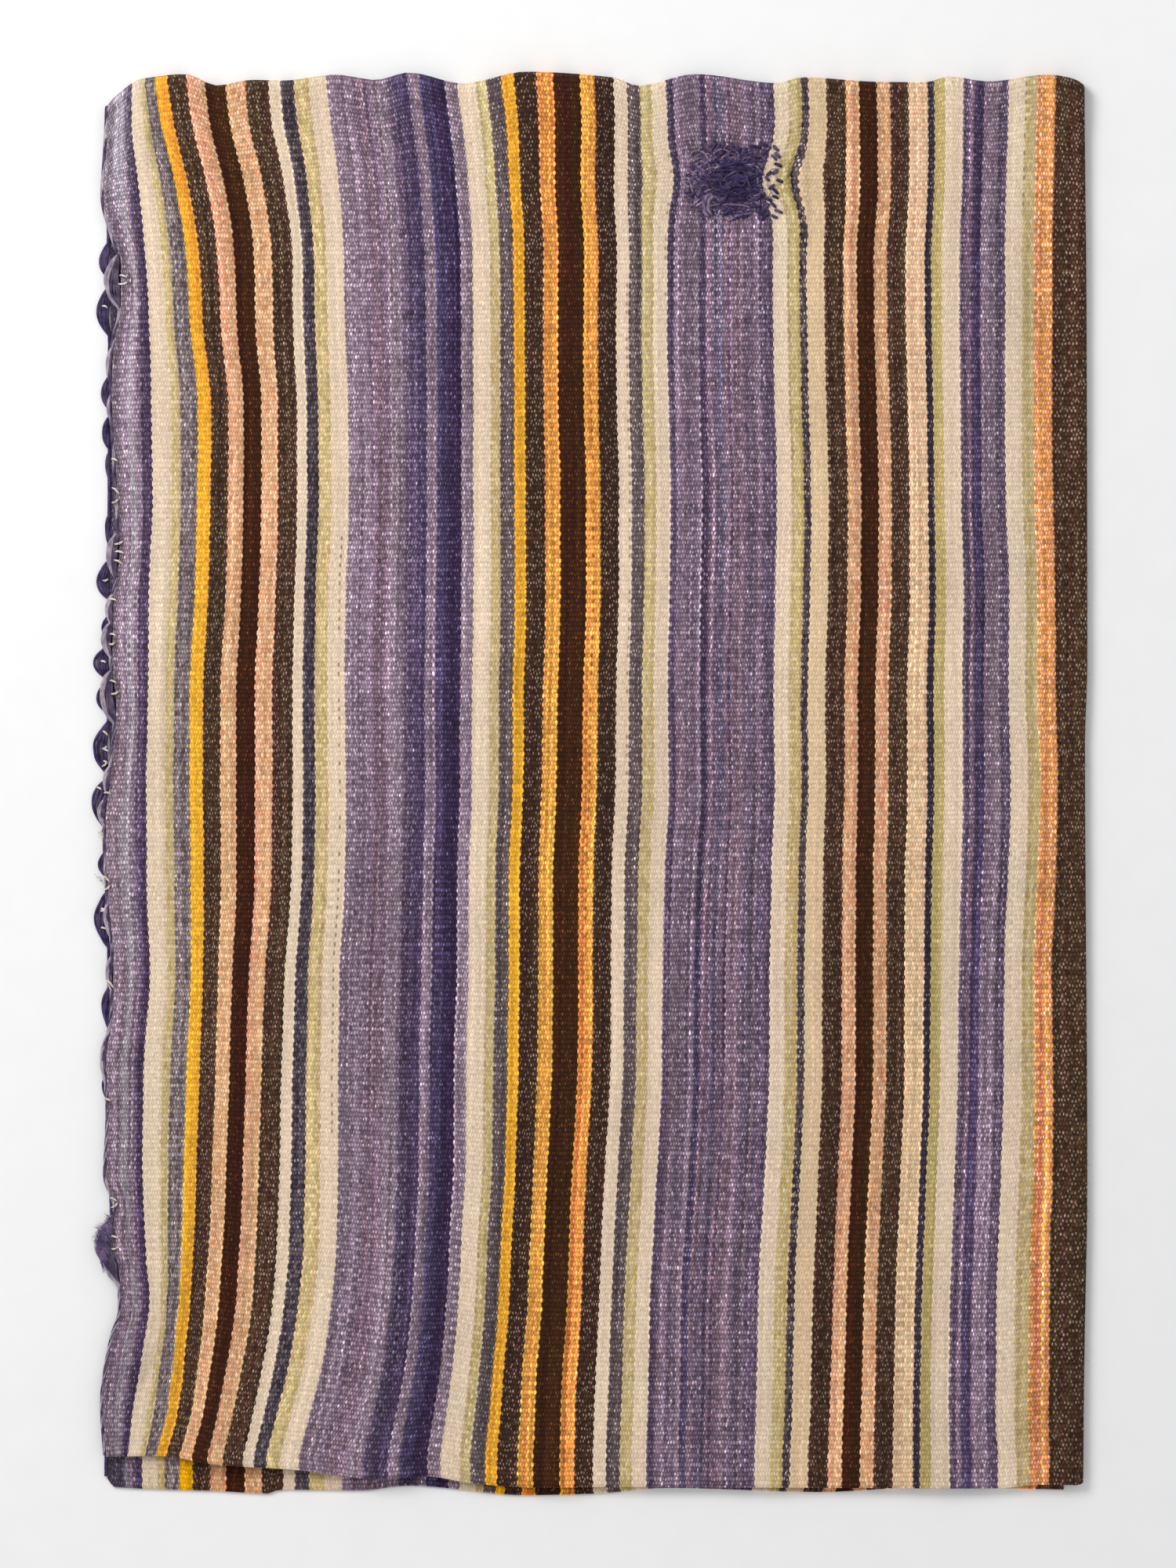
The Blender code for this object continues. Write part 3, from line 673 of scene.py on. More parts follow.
    def fine_lift(self, across: np.ndarray, down: np.ndarray) -> np.ndarray:
        """What the sharp creases and the cockling of the weave add to the upper layer's height.

        Args:
            across: the distances across.
            down: the distances down.

        Returns:
            The height to add at each point.
        """
        plan = self.upper_plan(across, down)
        lift = np.zeros_like(plan)
        for crease in CREASES:
            run = np.array((crease.end_plan - crease.plan, crease.end_down - crease.down))
            length = float(np.hypot(*run))
            right, below = plan - crease.plan, down - crease.down
            along = (right * run[0] + below * run[1]) / length
            beside = (right * run[1] - below * run[0]) / length
            past_end = np.maximum(np.maximum(-along, along - length), 0)
            lift += crease.height * hump(np.hypot(beside, past_end), crease.half_width)
        cockle = [
            noise.noise(Vector((x / self.cockle_across, y / self.cockle_along, 3.7)))
            + 0.5 * noise.noise(Vector((x / self.cockle_across * 2.3, y / self.cockle_along * 2.3, 9.1)))
            for x, y in zip(plan, down)
        ]
        quiet = ease(self.darn_distance(across, down) - 1)
        to_hem = through(UPPER_HEM, plan) - down
        curl = self.hem_curl * ease(1 - to_hem / self.hem_curl_length)
        lift += curl * hump(plan - self.hem_curl_plan, self.hem_curl_half_width)
        return lift + self.cockle_height * np.array(cockle) * quiet

    def spot(self, plan: Any, down: Any, height: Any) -> np.ndarray:
        """A point in the part's frame, in metres, from millimetres in plan, down and up."""
        centre = (self.width - self.cord_reach) / 2
        return np.stack(np.broadcast_arrays(plan - centre, self.down_centre - down, height), axis=-1) * MM

    def beside_edge(self, edge: np.ndarray, down: float) -> tuple[float, ...]:
        """Where a layer's left edge lies at a distance down.

        Args:
            edge: the edge's points in millimetres, from the top down.
            down: the distance down.

        Returns:
            How far right of the frame's middle it lies, and how high.
        """
        places = self.down_centre - edge[:, 1]
        return tuple(float(np.interp(down, places, edge[:, axis])) for axis in (0, 2))


@dataclass
class MeshMaker:
    """Collects points, faces and their places in the cloth or yarn, and makes one mesh of them."""

    name: str
    layer: str

    def __post_init__(self) -> None:
        """Starts with nothing collected."""
        self.points: list[np.ndarray] = []
        self.places: list[np.ndarray] = []
        self.faces: list[tuple[int, ...]] = []
        self.finishes: list[int] = []
        self.count = 0

    def collect(
        self, points: np.ndarray, places: np.ndarray, faces: list[tuple[int, ...]], finish: int
    ) -> None:
        """Adds some points and the faces between them.

        Args:
            points: one row for each point, in metres.
            places: each point's place in the cloth or along the yarn.
            faces: the faces, whose numbers count from the first of these points.
            finish: the number of their material slot.
        """
        self.faces += [tuple(corner + self.count for corner in face) for face in faces]
        self.finishes += [finish] * len(faces)
        self.points.append(points)
        self.places.append(places)
        self.count += len(points)

    def piece(self, materials: Sequence[Material]) -> Object:
        """Makes the mesh and puts it in the scene.

        Args:
            materials: the materials of its slots, in order.

        Returns:
            The new object.
        """
        mesh = bpy.data.meshes.new(self.name)
        mesh.from_pydata(np.concatenate(self.points).tolist(), [], self.faces)
        mesh.polygons.foreach_set("material_index", self.finishes)
        corners = np.empty(len(mesh.loops), dtype=np.int32)
        mesh.loops.foreach_get("vertex_index", corners)
        layer = mesh.uv_layers.new(name=self.layer)
        layer.data.foreach_set("uv", np.concatenate(self.places)[corners].ravel())
        for material in materials:
            mesh.materials.append(material)
        mesh.shade_smooth()
        piece = bpy.data.objects.new(self.name, mesh)
        bpy.context.scene.collection.objects.link(piece)
        return piece

    def tube(self, path: Path, radius: Callable[[float], float], sides: int, finish: int = 0) -> None:
        """Adds a round strand of yarn along a path, closed at both ends.

        Args:
            path: the points of its middle line, in millimetres of the part's frame.
            radius: its radius in millimetres, for a share of its length.
            sides: how many sides it has.
            finish: the number of its material slot.
        """
        line = np.asarray(path, float)
        along = np.gradient(line, axis=0)
        along /= np.linalg.norm(along, axis=1, keepdims=True)
        side = np.empty_like(line)
        side[0] = np.cross(along[0], (0.31, 0.17, 0.93))
        for number in range(len(line)):
            before = side[max(number - 1, 0)]
            flat = before - along[number] * np.dot(before, along[number])
            side[number] = flat / np.linalg.norm(flat)
        other = np.cross(along, side)
        lengths = np.concatenate([[0], np.cumsum(np.linalg.norm(np.diff(line, axis=0), axis=1))])
        widths = np.array([radius(length / lengths[-1]) for length in lengths])
        turn = np.arange(sides) / sides * 2 * math.pi
        ring = side[:, None] * np.cos(turn)[None, :, None] + other[:, None] * np.sin(turn)[None, :, None]
        points = line[:, None] + ring * widths[:, None, None]
        around, length = np.meshgrid(np.arange(sides) / sides, lengths * MM)
        places = np.stack([around, length], axis=-1)
        faces = []
        for row in range(len(line) - 1):
            for corner in range(sides):
                following = (corner + 1) % sides
                here, there = row * sides, (row + 1) * sides
                faces.append((here + corner, here + following, there + following, there + corner))
        faces.append(tuple(range(sides))[::-1])
        faces.append(tuple((len(line) - 1) * sides + corner for corner in range(sides)))
        self.collect(points.reshape(-1, 3) * MM, places.reshape(-1, 2), faces, finish)

    def closed_sheet(
        self, outer: np.ndarray, inner: np.ndarray, places: np.ndarray, inner_finish: int
    ) -> None:
        """Adds a closed sheet between two grids of points, of which the outer one faces outwards.

        Args:
            outer: the outer grid of points, in metres.
            inner: the inner grid.
            places: the grid of their places in the cloth.
            inner_finish: the number of the inner face's material slot.
        """
        rows, columns = outer.shape[:2]
        number = np.arange(rows * columns).reshape(rows, columns)
        corners = [number[:-1, :-1], number[:-1, 1:], number[1:, 1:], number[1:, :-1]]
        quads = np.stack([corner.ravel() for corner in corners], axis=1)
        border = [*number[0, :-1], *number[:-1, -1], *number[-1, :0:-1], *number[:0:-1, 0]]
        under = rows * columns
        pairs = list(zip(border, border[1:] + border[:1]))
        rim = [(int(a), int(b), int(b) + under, int(a) + under) for a, b in pairs]
        points = np.concatenate([outer.reshape(-1, 3), inner.reshape(-1, 3)])
        both = np.concatenate([places.reshape(-1, 2)] * 2)
        outside = [tuple(quad) for quad in quads[:, ::-1].tolist()]
        inside = [tuple(quad) for quad in (quads + under).tolist()]
        self.collect(points, both, outside + rim, 0)
        self.faces += [tuple(corner + self.count - len(points) for corner in quad) for quad in inside]
        self.finishes += [inner_finish] * len(inside)


class ShownFloat(NamedTuple):
    """The float of yarn that shows at a point of the cloth, as nodes and sockets: the point's place in
    the cloth and in the weave, whether the pick is an even one, the float's middle and its parts,
    the point's place from there and the squares of that, and the float's own random numbers."""

    cloth: NodeSocket
    woven: Node
    is_even: Node
    middle: NodeSocket
    place: Any
    here: NodeSocket
    offset: Node
    chance: Any
    lots: Any


@dataclass(frozen=True)
class WarpFacedWool:
    """The striped cloth: handspun wool in a warp-faced plain weave, worn soft.

    Each end of the warp passes over one pick and under the next, and stands so close to its neighbours
    that the weft is hidden: the eye sees rows of short upright floats, each row set half a float to
    the side of the last, so that every stripe has a toothed edge.
    """

    name: str
    end_pitch: float = CLOTH_WIDTH / ENDS
    pick_pitch: float = 3.2
    point: float = 0.5
    edge_slip: float = 0.8
    tooth: float = 0.3
    wander_across: float = 1.1
    wander_along: float = 2.0
    wander_size: float = 45.0
    jog_across: float = 0.7
    jog_along: float = 0.6
    jog_size: float = 7.0
    saturation: float = 1.0
    value: float = 1.0
    crown_fall: tuple[float, float, float] = (2.4, 8.5, 0)
    gap_depth: float = 0.2
    odd_share: float = 0.4
    strictest: float = 0.85
    speck_stray: float = 0.45
    speck_fall: tuple[float, float, float] = (14.0, 30.0, 0)
    speck_strength: float = 0.85
    dash_strength: float = 0.8
    dash_breaks: float = 0.25
    wear_across: float = 6.0
    wear_past_fold: float = 22.0
    wear_half_width: float = 21.0
    wear_half_length: float = 75.0
    wear_strength: float = 0.5
    worn_colour: str = "#c9c4cb"
    painted_shade_edge: float = 0.0
    painted_shade_strength: float = 0.8
    painted_shade_colour: str = "#383344"
    hair_slopes: tuple[tuple[float, float, float], ...] = ((1500.0, 700.0, 0), (0, 380.0, 0))
    end_spread: float = 13.7
    end_run: float = 250.0
    streak_width: float = 4.0
    streak_run: float = 800.0
    row_length: float = 40.0
    row_spread: float = 7.3
    uneven_ends: float = 7.6
    uneven_streaks: float = 6.0
    uneven_rows: float = 2.8
    uneven_floats: float = 3.0
    uneven_crowns: float = 4.2
    uneven_hairs: float = 5.5
    hue_drift: float = 0.55
    patches_per_metre: float = 9.0
    patch_haze: float = 0.05
    hair_haze: float = 0.16
    relief: float = 0.28

    @property
    def cell(self) -> tuple[float, float]:
        """The size of a cell of the weave in metres: two ends by two picks."""
        return 2 * self.end_pitch * MM, 2 * self.pick_pitch * MM

    def chart(self, pick_yarn: Callable[[Stripe], tuple[float, ...]], start: float, stop: float) -> list:
        """The stops of a colour ramp for a stretch of the warping chart.

        Args:
            pick_yarn: gives a stripe's red, green, blue and alpha.
            start: the stretch's first end.
            stop: the end where it stops.

        Returns:
            A share of the stretch and a colour for each stop.
        """
        stops = []
        first = 0
        for stripe in WARPING_CHART:
            if first < stop and first + stripe.ends > start:
                stops.append((max(first - start, 0) / (stop - start), pick_yarn(stripe)))
            first += stripe.ends
        return stops

    def striped(
        self,
        tree: NodeTree,
        place: Node,
        beyond: Sequence[Node],
        pick_yarn: Callable[[Stripe], tuple[float, ...]],
    ) -> tuple[NodeSocket, NodeSocket]:
        """Reads the warping chart, which is spread over four ramps because one is too coarse.

        Args:
            tree: the material's node tree.
            place: the place within a quarter of the width, from 0 to 1.
            beyond: three numbers, which are 1 past the first, second and third quarter.
            pick_yarn: gives a stripe's red, green, blue and alpha.

        Returns:
            The colour and the alpha at the place.
        """
        colour = alpha = None
        for quarter in range(4):
            node = add(tree, "ValToRGB", {"Fac": place})
            ramp = node.color_ramp
            ramp.interpolation = "CONSTANT"
            stops = self.chart(pick_yarn, quarter * ENDS / 4, (quarter + 1) * ENDS / 4)
            ramp.elements.remove(ramp.elements[1])
            ramp.elements[0].position = 0
            ramp.elements[0].color = stops[0][1]
            for position, value in stops[1:]:
                ramp.elements.new(position).color = value
            if quarter == 0:
                colour, alpha = node.outputs["Color"], node.outputs["Alpha"]
                continue
            gate = beyond[quarter - 1]
            first, second, out = MIX_COLOUR
            inputs = {0: gate, first: colour, second: node.outputs["Color"]}
            colour = add(tree, "Mix", inputs, data_type="RGBA").outputs[out]
            first, second, out = MIX_NUMBER
            inputs = {0: gate, first: alpha, second: node.outputs["Alpha"]}
            alpha = add(tree, "Mix", inputs, data_type="FLOAT").outputs[out]
        return colour, alpha

    def shown_float(self, tree: NodeTree) -> ShownFloat:
        """Finds which float of yarn shows at a point.

        Args:
            tree: the material's node tree.

        Returns:
            The float.
        """
        # The place in the cloth, which wanders a little, as hand-beaten picks and handspun ends do
        cloth = add(tree, "UVMap", uv_map="weave").outputs["UV"]
        woven = cloth
        for size, across, along in (
            (self.wander_size, self.wander_across, self.wander_along),
            (self.jog_size, self.jog_across, self.jog_along),
        ):
            inputs = {"Vector": cloth, "Scale": 1 / (size * MM), "Detail": 2.0}
            wander = add(tree, "TexNoise", inputs, noise_dimensions="2D").outputs["Color"]
            reach = (across * MM, along * MM, 0)
            inputs = {0: wander, 1: reach, 2: tuple(-value / 2 for value in reach)}
            shift = add(tree, "VectorMath", inputs, operation="MULTIPLY_ADD")
            woven = add(tree, "VectorMath", {0: woven, 1: shift}, operation="ADD")

        # Two grids of floats, one for the even picks and one, half a cell away, for the odd ones
        per_cell = (1 / self.cell[0], 1 / self.cell[1], 0)
        even = add(tree, "VectorMath", {0: woven, 1: per_cell}, operation="MULTIPLY")
        odd = add(tree, "VectorMath", {0: even, 1: (0.5, 0.5, 0)}, operation="ADD")
        local, centre, squared, reached = [], [], [], []
        for cell, corner in ((even, (0.5, 0.5, 0)), (odd, (0.0, 0.0, 0))):
            part = add(tree, "VectorMath", {0: cell}, operation="FRACTION")
            local.append(add(tree, "VectorMath", {0: part, 1: (0.5, 0.5, 0)}, operation="SUBTRACT"))
            whole = add(tree, "VectorMath", {0: cell}, operation="FLOOR")
            centre.append(add(tree, "VectorMath", {0: whole, 1: corner}, operation="ADD"))
            squared.append(add(tree, "VectorMath", {0: local[-1], 1: local[-1]}, operation="MULTIPLY"))
            inputs = {0: squared[-1], 1: (self.point, 1, 0)}
            reached.append(add(tree, "VectorMath", inputs, operation="DOT_PRODUCT").outputs["Value"])
        is_even = add(tree, "Math", {0: reached[0], 1: reached[1]}, operation="LESS_THAN")
        first, second, out = MIX_VECTOR
        inputs = {0: is_even, first: centre[1], second: centre[0]}
        middle = add(tree, "Mix", inputs, data_type="VECTOR").outputs[out]
        inputs = {0: is_even, first: local[1], second: local[0]}
        here = add(tree, "Mix", inputs, data_type="VECTOR").outputs[out]
        offset = add(tree, "VectorMath", {0: here, 1: here}, operation="MULTIPLY")
        place = add(tree, "SeparateXYZ", {0: middle}).outputs
        chance = add(tree, "TexWhiteNoise", {"Vector": middle}, noise_dimensions="3D").outputs
        lots = add(tree, "SeparateXYZ", {0: chance["Color"]}).outputs
        return ShownFloat(cloth, woven, is_even, middle, place, here, offset, chance, lots)

    def spun(self, tree: NodeTree, shown: ShownFloat) -> tuple[NodeSocket, NodeSocket]:
        """Finds the yarn that a float is of.

        Args:
            tree: the material's node tree.
            shown: the float.

        Returns:
            The yarn's colour, and how unevenly it is dyed.
        """
        place, here, chance, lots = shown.place, shown.here, shown.chance, shown.lots
        # Which end of the warp shows, which quarter of the chart it is in, and where in that quarter.
        # A float at the edge of a stripe lets its neighbour show on one side, so the teeth are small.
        beside = add(tree, "SeparateXYZ", {0: here}).outputs["X"]
        slip = add(tree, "Math", {0: beside, 1: self.edge_slip, 2: self.tooth}, operation="MULTIPLY_ADD")
        end = add(tree, "Math", {0: place["X"], 1: 2.0, 2: slip}, operation="MULTIPLY_ADD")
        end = add(tree, "Math", {0: end}, operation="FLOOR")
        end = add(tree, "Math", {0: end, 1: 0.5}, operation="ADD")
        quarters = add(tree, "Math", {0: end, 1: 4 / ENDS}, operation="MULTIPLY")
        quarters = add(tree, "Clamp", {"Value": quarters, "Min": 0.0, "Max": 3.999})
        in_quarter = add(tree, "Math", {0: quarters}, operation="FRACT")
        beyond = [
            add(tree, "Math", {0: quarters, 1: float(number)}, operation="GREATER_THAN")
            for number in (1, 2, 3)
        ]
        (odd_yarn, streak), (even_yarn, order), (fleck, flecked) = (
            self.striped(tree, in_quarter, beyond, pick_yarn)
            for pick_yarn in (
                lambda stripe: (*linear(stripe.odd.value.colour), stripe.odd.value.streak),
                lambda stripe: (*linear(stripe.even.value.colour), stripe.order.value),
                lambda stripe: (*linear(stripe.odd.value.fleck), stripe.odd.value.flecked),
            )
        )
        repeats = []
        for ends_each in (3, 4):
            repeat = add(tree, "Math", {0: place["X"], 1: 2 / ends_each, 2: 0.1}, operation="MULTIPLY_ADD")
            repeat = add(tree, "Math", {0: repeat}, operation="FRACT")
            repeats.append(add(tree, "Math", {0: repeat, 1: self.odd_share}, operation="GREATER_THAN"))
        paired = add(tree, "Math", {0: order, 1: 0.9}, operation="GREATER_THAN")
        first, second, out = MIX_NUMBER
        inputs = {0: paired, first: repeats[0], second: repeats[1]}
        turn = add(tree, "Mix", inputs, data_type="FLOAT").outputs[out]
        strict = add(tree, "Math", {0: order, 1: self.strictest}, operation="MINIMUM")
        inputs = {0: strict, first: lots["Y"], second: turn}
        which = add(tree, "Mix", inputs, data_type="FLOAT").outputs[out]
        first, second, out = MIX_COLOUR
        inputs = {0: which, first: odd_yarn, second: even_yarn}
        yarn = add(tree, "Mix", inputs, data_type="RGBA").outputs[out]

        # Odd fibres spun into the yarn show as specks somewhere on some floats
        shows = add(tree, "Math", {0: chance["Value"], 1: flecked}, operation="LESS_THAN")
        inputs = {0: chance["Color"], 1: (self.speck_stray,) * 3, 2: (-self.speck_stray / 2,) * 3}
        stray_to = add(tree, "VectorMath", inputs, operation="MULTIPLY_ADD")
        from_speck = add(tree, "VectorMath", {0: here, 1: stray_to}, operation="SUBTRACT")
        away = add(tree, "VectorMath", {0: from_speck, 1: from_speck}, operation="MULTIPLY")
        inputs = {0: away, 1: self.speck_fall}
        from_speck = add(tree, "VectorMath", inputs, operation="DOT_PRODUCT").outputs["Value"]
        inputs = {"Value": from_speck, "From Min": 1.2, "From Max": 0.1, "To Max": self.speck_strength}
        speck = add(tree, "MapRange", inputs)
        speck = add(tree, "Math", {0: speck, 1: shows}, operation="MULTIPLY")
        yarn = add(tree, "Mix", {0: speck, first: yarn, second: fleck}, data_type="RGBA").outputs[out]
        return yarn, streak

    def aged_and_shaded(self, tree: NodeTree, shown: ShownFloat, yarn: NodeSocket, lay: ClothLay) -> NodeSocket:
        """Adds what this cloth alone has: its stray ends, the marks of use, and painted shade by the left
        selvedge.

        Args:
            tree: the material's node tree.
            shown: the float that shows.
            yarn: the colour of its yarn.
            lay: how the cloth lies.

        Returns:
            The colour that the yarn has here.
        """
        place, lots = shown.place, shown.lots
        first, second, out = MIX_COLOUR
        double_end, double_pick = self.cell
        # Single ends of another colour, which show as broken dashes on every other pick
        inputs = {0: shown.offset, 1: self.speck_fall}
        from_middle = add(tree, "VectorMath", inputs, operation="DOT_PRODUCT").outputs["Value"]
        for stray in STRAY_ENDS:
            inputs = {0: place["X"], 1: stray.across * MM / double_end, 2: 0.5}
            mask = add(tree, "Math", inputs, operation="COMPARE")
            mask = add(tree, "Math", {0: mask, 1: shown.is_even}, operation="MULTIPLY")
            run = (lay.folded_length + (stray.start + stray.stop) / 2) * MM / double_pick
            half_run = (stray.stop - stray.start) / 2 * MM / double_pick
            along = add(tree, "Math", {0: place["Y"], 1: run, 2: half_run}, operation="COMPARE")
            mask = add(tree, "Math", {0: mask, 1: along}, operation="MULTIPLY")
            inputs = {"Value": from_middle, "From Min": 2.2, "From Max": 1.2, "To Max": self.dash_strength}
            dash = add(tree, "MapRange", inputs)
            whole = add(tree, "Math", {0: lots["X"], 1: self.dash_breaks}, operation="GREATER_THAN")
            for limit in (dash, whole):
                mask = add(tree, "Math", {0: mask, 1: limit}, operation="MULTIPLY")
            inputs = {0: mask, first: yarn, second: (*linear(stray.colour), 1)}
            yarn = add(tree, "Mix", inputs, data_type="RGBA").outputs[out]

        # The fold has worn pale at its left end, and the inner face has painted shade along its left
        # selvedge
        wear_along = lay.folded_length + self.wear_past_fold
        inputs = {0: shown.cloth, 1: (-self.wear_across * MM, -wear_along * MM, 0)}
        from_wear = add(tree, "VectorMath", inputs, operation="ADD")
        half_sizes = (1 / (self.wear_half_width * MM), 1 / (self.wear_half_length * MM), 0)
        from_wear = add(tree, "VectorMath", {0: from_wear, 1: half_sizes}, operation="MULTIPLY")
        from_wear = add(tree, "VectorMath", {0: from_wear}, operation="LENGTH").outputs["Value"]
        inputs = {"Value": from_wear, "From Min": 1.2, "From Max": 0.5, "To Max": self.wear_strength}
        worn = add(tree, "MapRange", inputs)
        worn = add(tree, "Math", {0: worn, 1: lots["X"]}, operation="MULTIPLY")
        inputs = {0: worn, first: yarn, second: (*linear(self.worn_colour), 1)}
        yarn = add(tree, "Mix", inputs, data_type="RGBA").outputs[out]
        # Painted shade: the inner face darkens along its left selvedge, in the hollows under the loose cord
        if self.painted_shade_edge:
            from_edge = add(tree, "SeparateXYZ", {0: shown.woven}).outputs["X"]
            reach = self.painted_shade_edge * MM
            inputs = {"Value": from_edge, "From Min": reach * 1.15, "From Max": reach * 0.85}
            deep = add(tree, "MapRange", {**inputs, "To Max": self.painted_shade_strength})
            inputs = {0: deep, first: yarn, second: (*linear(self.painted_shade_colour), 1)}
            yarn = add(tree, "Mix", inputs, data_type="RGBA").outputs[out]
        return yarn

    def shaded(
        self, tree: NodeTree, shown: ShownFloat, yarn: NodeSocket, streak: NodeSocket
    ) -> tuple[Node, Node]:
        """Shades the floats, streaks the ends and lets broad patches fade.

        Args:
            tree: the material's node tree.
            shown: the float that shows.
            yarn: the colour of its yarn.
            streak: how unevenly that is dyed.

        Returns:
            The colour of the cloth and the height of its surface.
        """
        cloth, middle, lots = shown.cloth, shown.middle, shown.lots
        double_end, double_pick = self.cell
        # The gaps between the floats lie in shade, and the twist of the yarn breaks up their surface.
        # Both show more in yarns that are spun and dyed unevenly, so they join the streaks below.
        inputs = {0: shown.offset, 1: self.crown_fall}
        fall = add(tree, "VectorMath", inputs, operation="DOT_PRODUCT").outputs["Value"]
        crown = add(tree, "Math", {0: 1.0, 1: fall}, operation="SUBTRACT", use_clamp=True)
        slanted = [
            add(tree, "VectorMath", {0: cloth, 1: slope}, operation="DOT_PRODUCT").outputs["Value"]
            for slope in self.hair_slopes
        ]
        hairs = add(tree, "CombineXYZ", {0: slanted[0], 1: slanted[1]})
        hair = add(tree, "TexNoise", {"Vector": hairs, "Scale": 1.0, "Detail": 3.0}, noise_dimensions="2D")

        # Streaks: every end takes the dye a little differently, in lightness and in hue, and keeps
        # that for a long way. The picks differ a little too, and so does every float.
        inputs = {0: middle, 1: (self.end_spread, double_pick / (self.end_run * MM), 0)}
        lane = add(tree, "VectorMath", inputs, operation="MULTIPLY")
        by_end = add(tree, "TexNoise", {"Vector": lane, "Scale": 1.0, "Detail": 1.0}, noise_dimensions="2D")
        per_streak = (double_end / (self.streak_width * MM), double_pick / (self.streak_run * MM), 0)
        band = add(tree, "VectorMath", {0: middle, 1: per_streak}, operation="MULTIPLY")
        inputs = {"Vector": band, "Scale": 1.0, "Detail": 2.0}
        tones = add(tree, "TexNoise", inputs, noise_dimensions="2D").outputs["Color"]
        tone = add(tree, "SeparateXYZ", {0: tones}).outputs
        inputs = {0: middle, 1: (double_end / (self.row_length * MM), self.row_spread, 0)}
        row = add(tree, "VectorMath", inputs, operation="MULTIPLY")
        by_row = add(tree, "TexNoise", {"Vector": row, "Scale": 1.0, "Detail": 1.0}, noise_dimensions="2D")
        shares = (
            (by_end, self.uneven_ends),
            (tone["X"], self.uneven_streaks),
            (by_row, self.uneven_rows),
            (lots["Z"], self.uneven_floats),
            (crown, self.uneven_crowns),
            (hair, self.uneven_hairs),
        )
        uneven = -sum(share for _, share in shares) / 2
        for source, share in shares:
            uneven = add(tree, "Math", {0: source, 1: share, 2: uneven}, operation="MULTIPLY_ADD")
        uneven = add(tree, "Math", {0: uneven, 1: streak}, operation="MULTIPLY")
        light = add(tree, "Math", {0: math.e, 1: uneven}, operation="POWER")
        turned = add(tree, "Math", {0: tone["Y"], 1: 0.5}, operation="SUBTRACT")
        turned = add(tree, "Math", {0: turned, 1: streak}, operation="MULTIPLY")
        hue = add(tree, "Math", {0: turned, 1: self.hue_drift, 2: 0.5}, operation="MULTIPLY_ADD")

        # Broad patches have faded or greyed a little
        inputs = {"Vector": cloth, "Scale": self.patches_per_metre, "Detail": 3.0}
        patch = add(tree, "TexNoise", inputs, noise_dimensions="2D")
        for source, reach in ((patch, self.patch_haze), (hair, self.hair_haze)):
            inputs = {"Value": source, "From Min": 0.3, "From Max": 0.7}
            haze = add(tree, "MapRange", {**inputs, "To Min": 1 - reach, "To Max": 1 + reach})
            light = add(tree, "Math", {0: light, 1: haze}, operation="MULTIPLY")
        # Light that has bounced between fibres of one colour makes the gaps deeper in that colour
        depth = add(tree, "MapRange", {"Value": crown, "To Min": 1 + self.gap_depth, "To Max": 1.0})
        colour = add(tree, "Gamma", {"Color": yarn, "Gamma": depth})
        colour = add(tree, "VectorMath", {0: colour, "Scale": light}, operation="SCALE")
        inputs = {"Color": colour, "Hue": hue, "Saturation": self.saturation, "Value": self.value}
        colour = add(tree, "HueSaturation", inputs)
        return colour, add(tree, "Math", {0: hair, 1: 0.3, 2: crown}, operation="MULTIPLY_ADD")

    def material(self, lay: ClothLay) -> Material:
        """Builds the cloth's material.

        Args:
            lay: how the cloth lies, for its sizes.

        Returns:
            The material, which reads the UV map named weave, in metres of cloth.
        """
        material, tree = blank_material(self.name)
        shown = self.shown_float(tree)
        yarn, streak = self.spun(tree, shown)
        colour, height = self.shaded(tree, shown, self.aged_and_shaded(tree, shown, yarn, lay), streak)
        wool_surface(tree, colour, height, self.relief, 0.03)
        return material


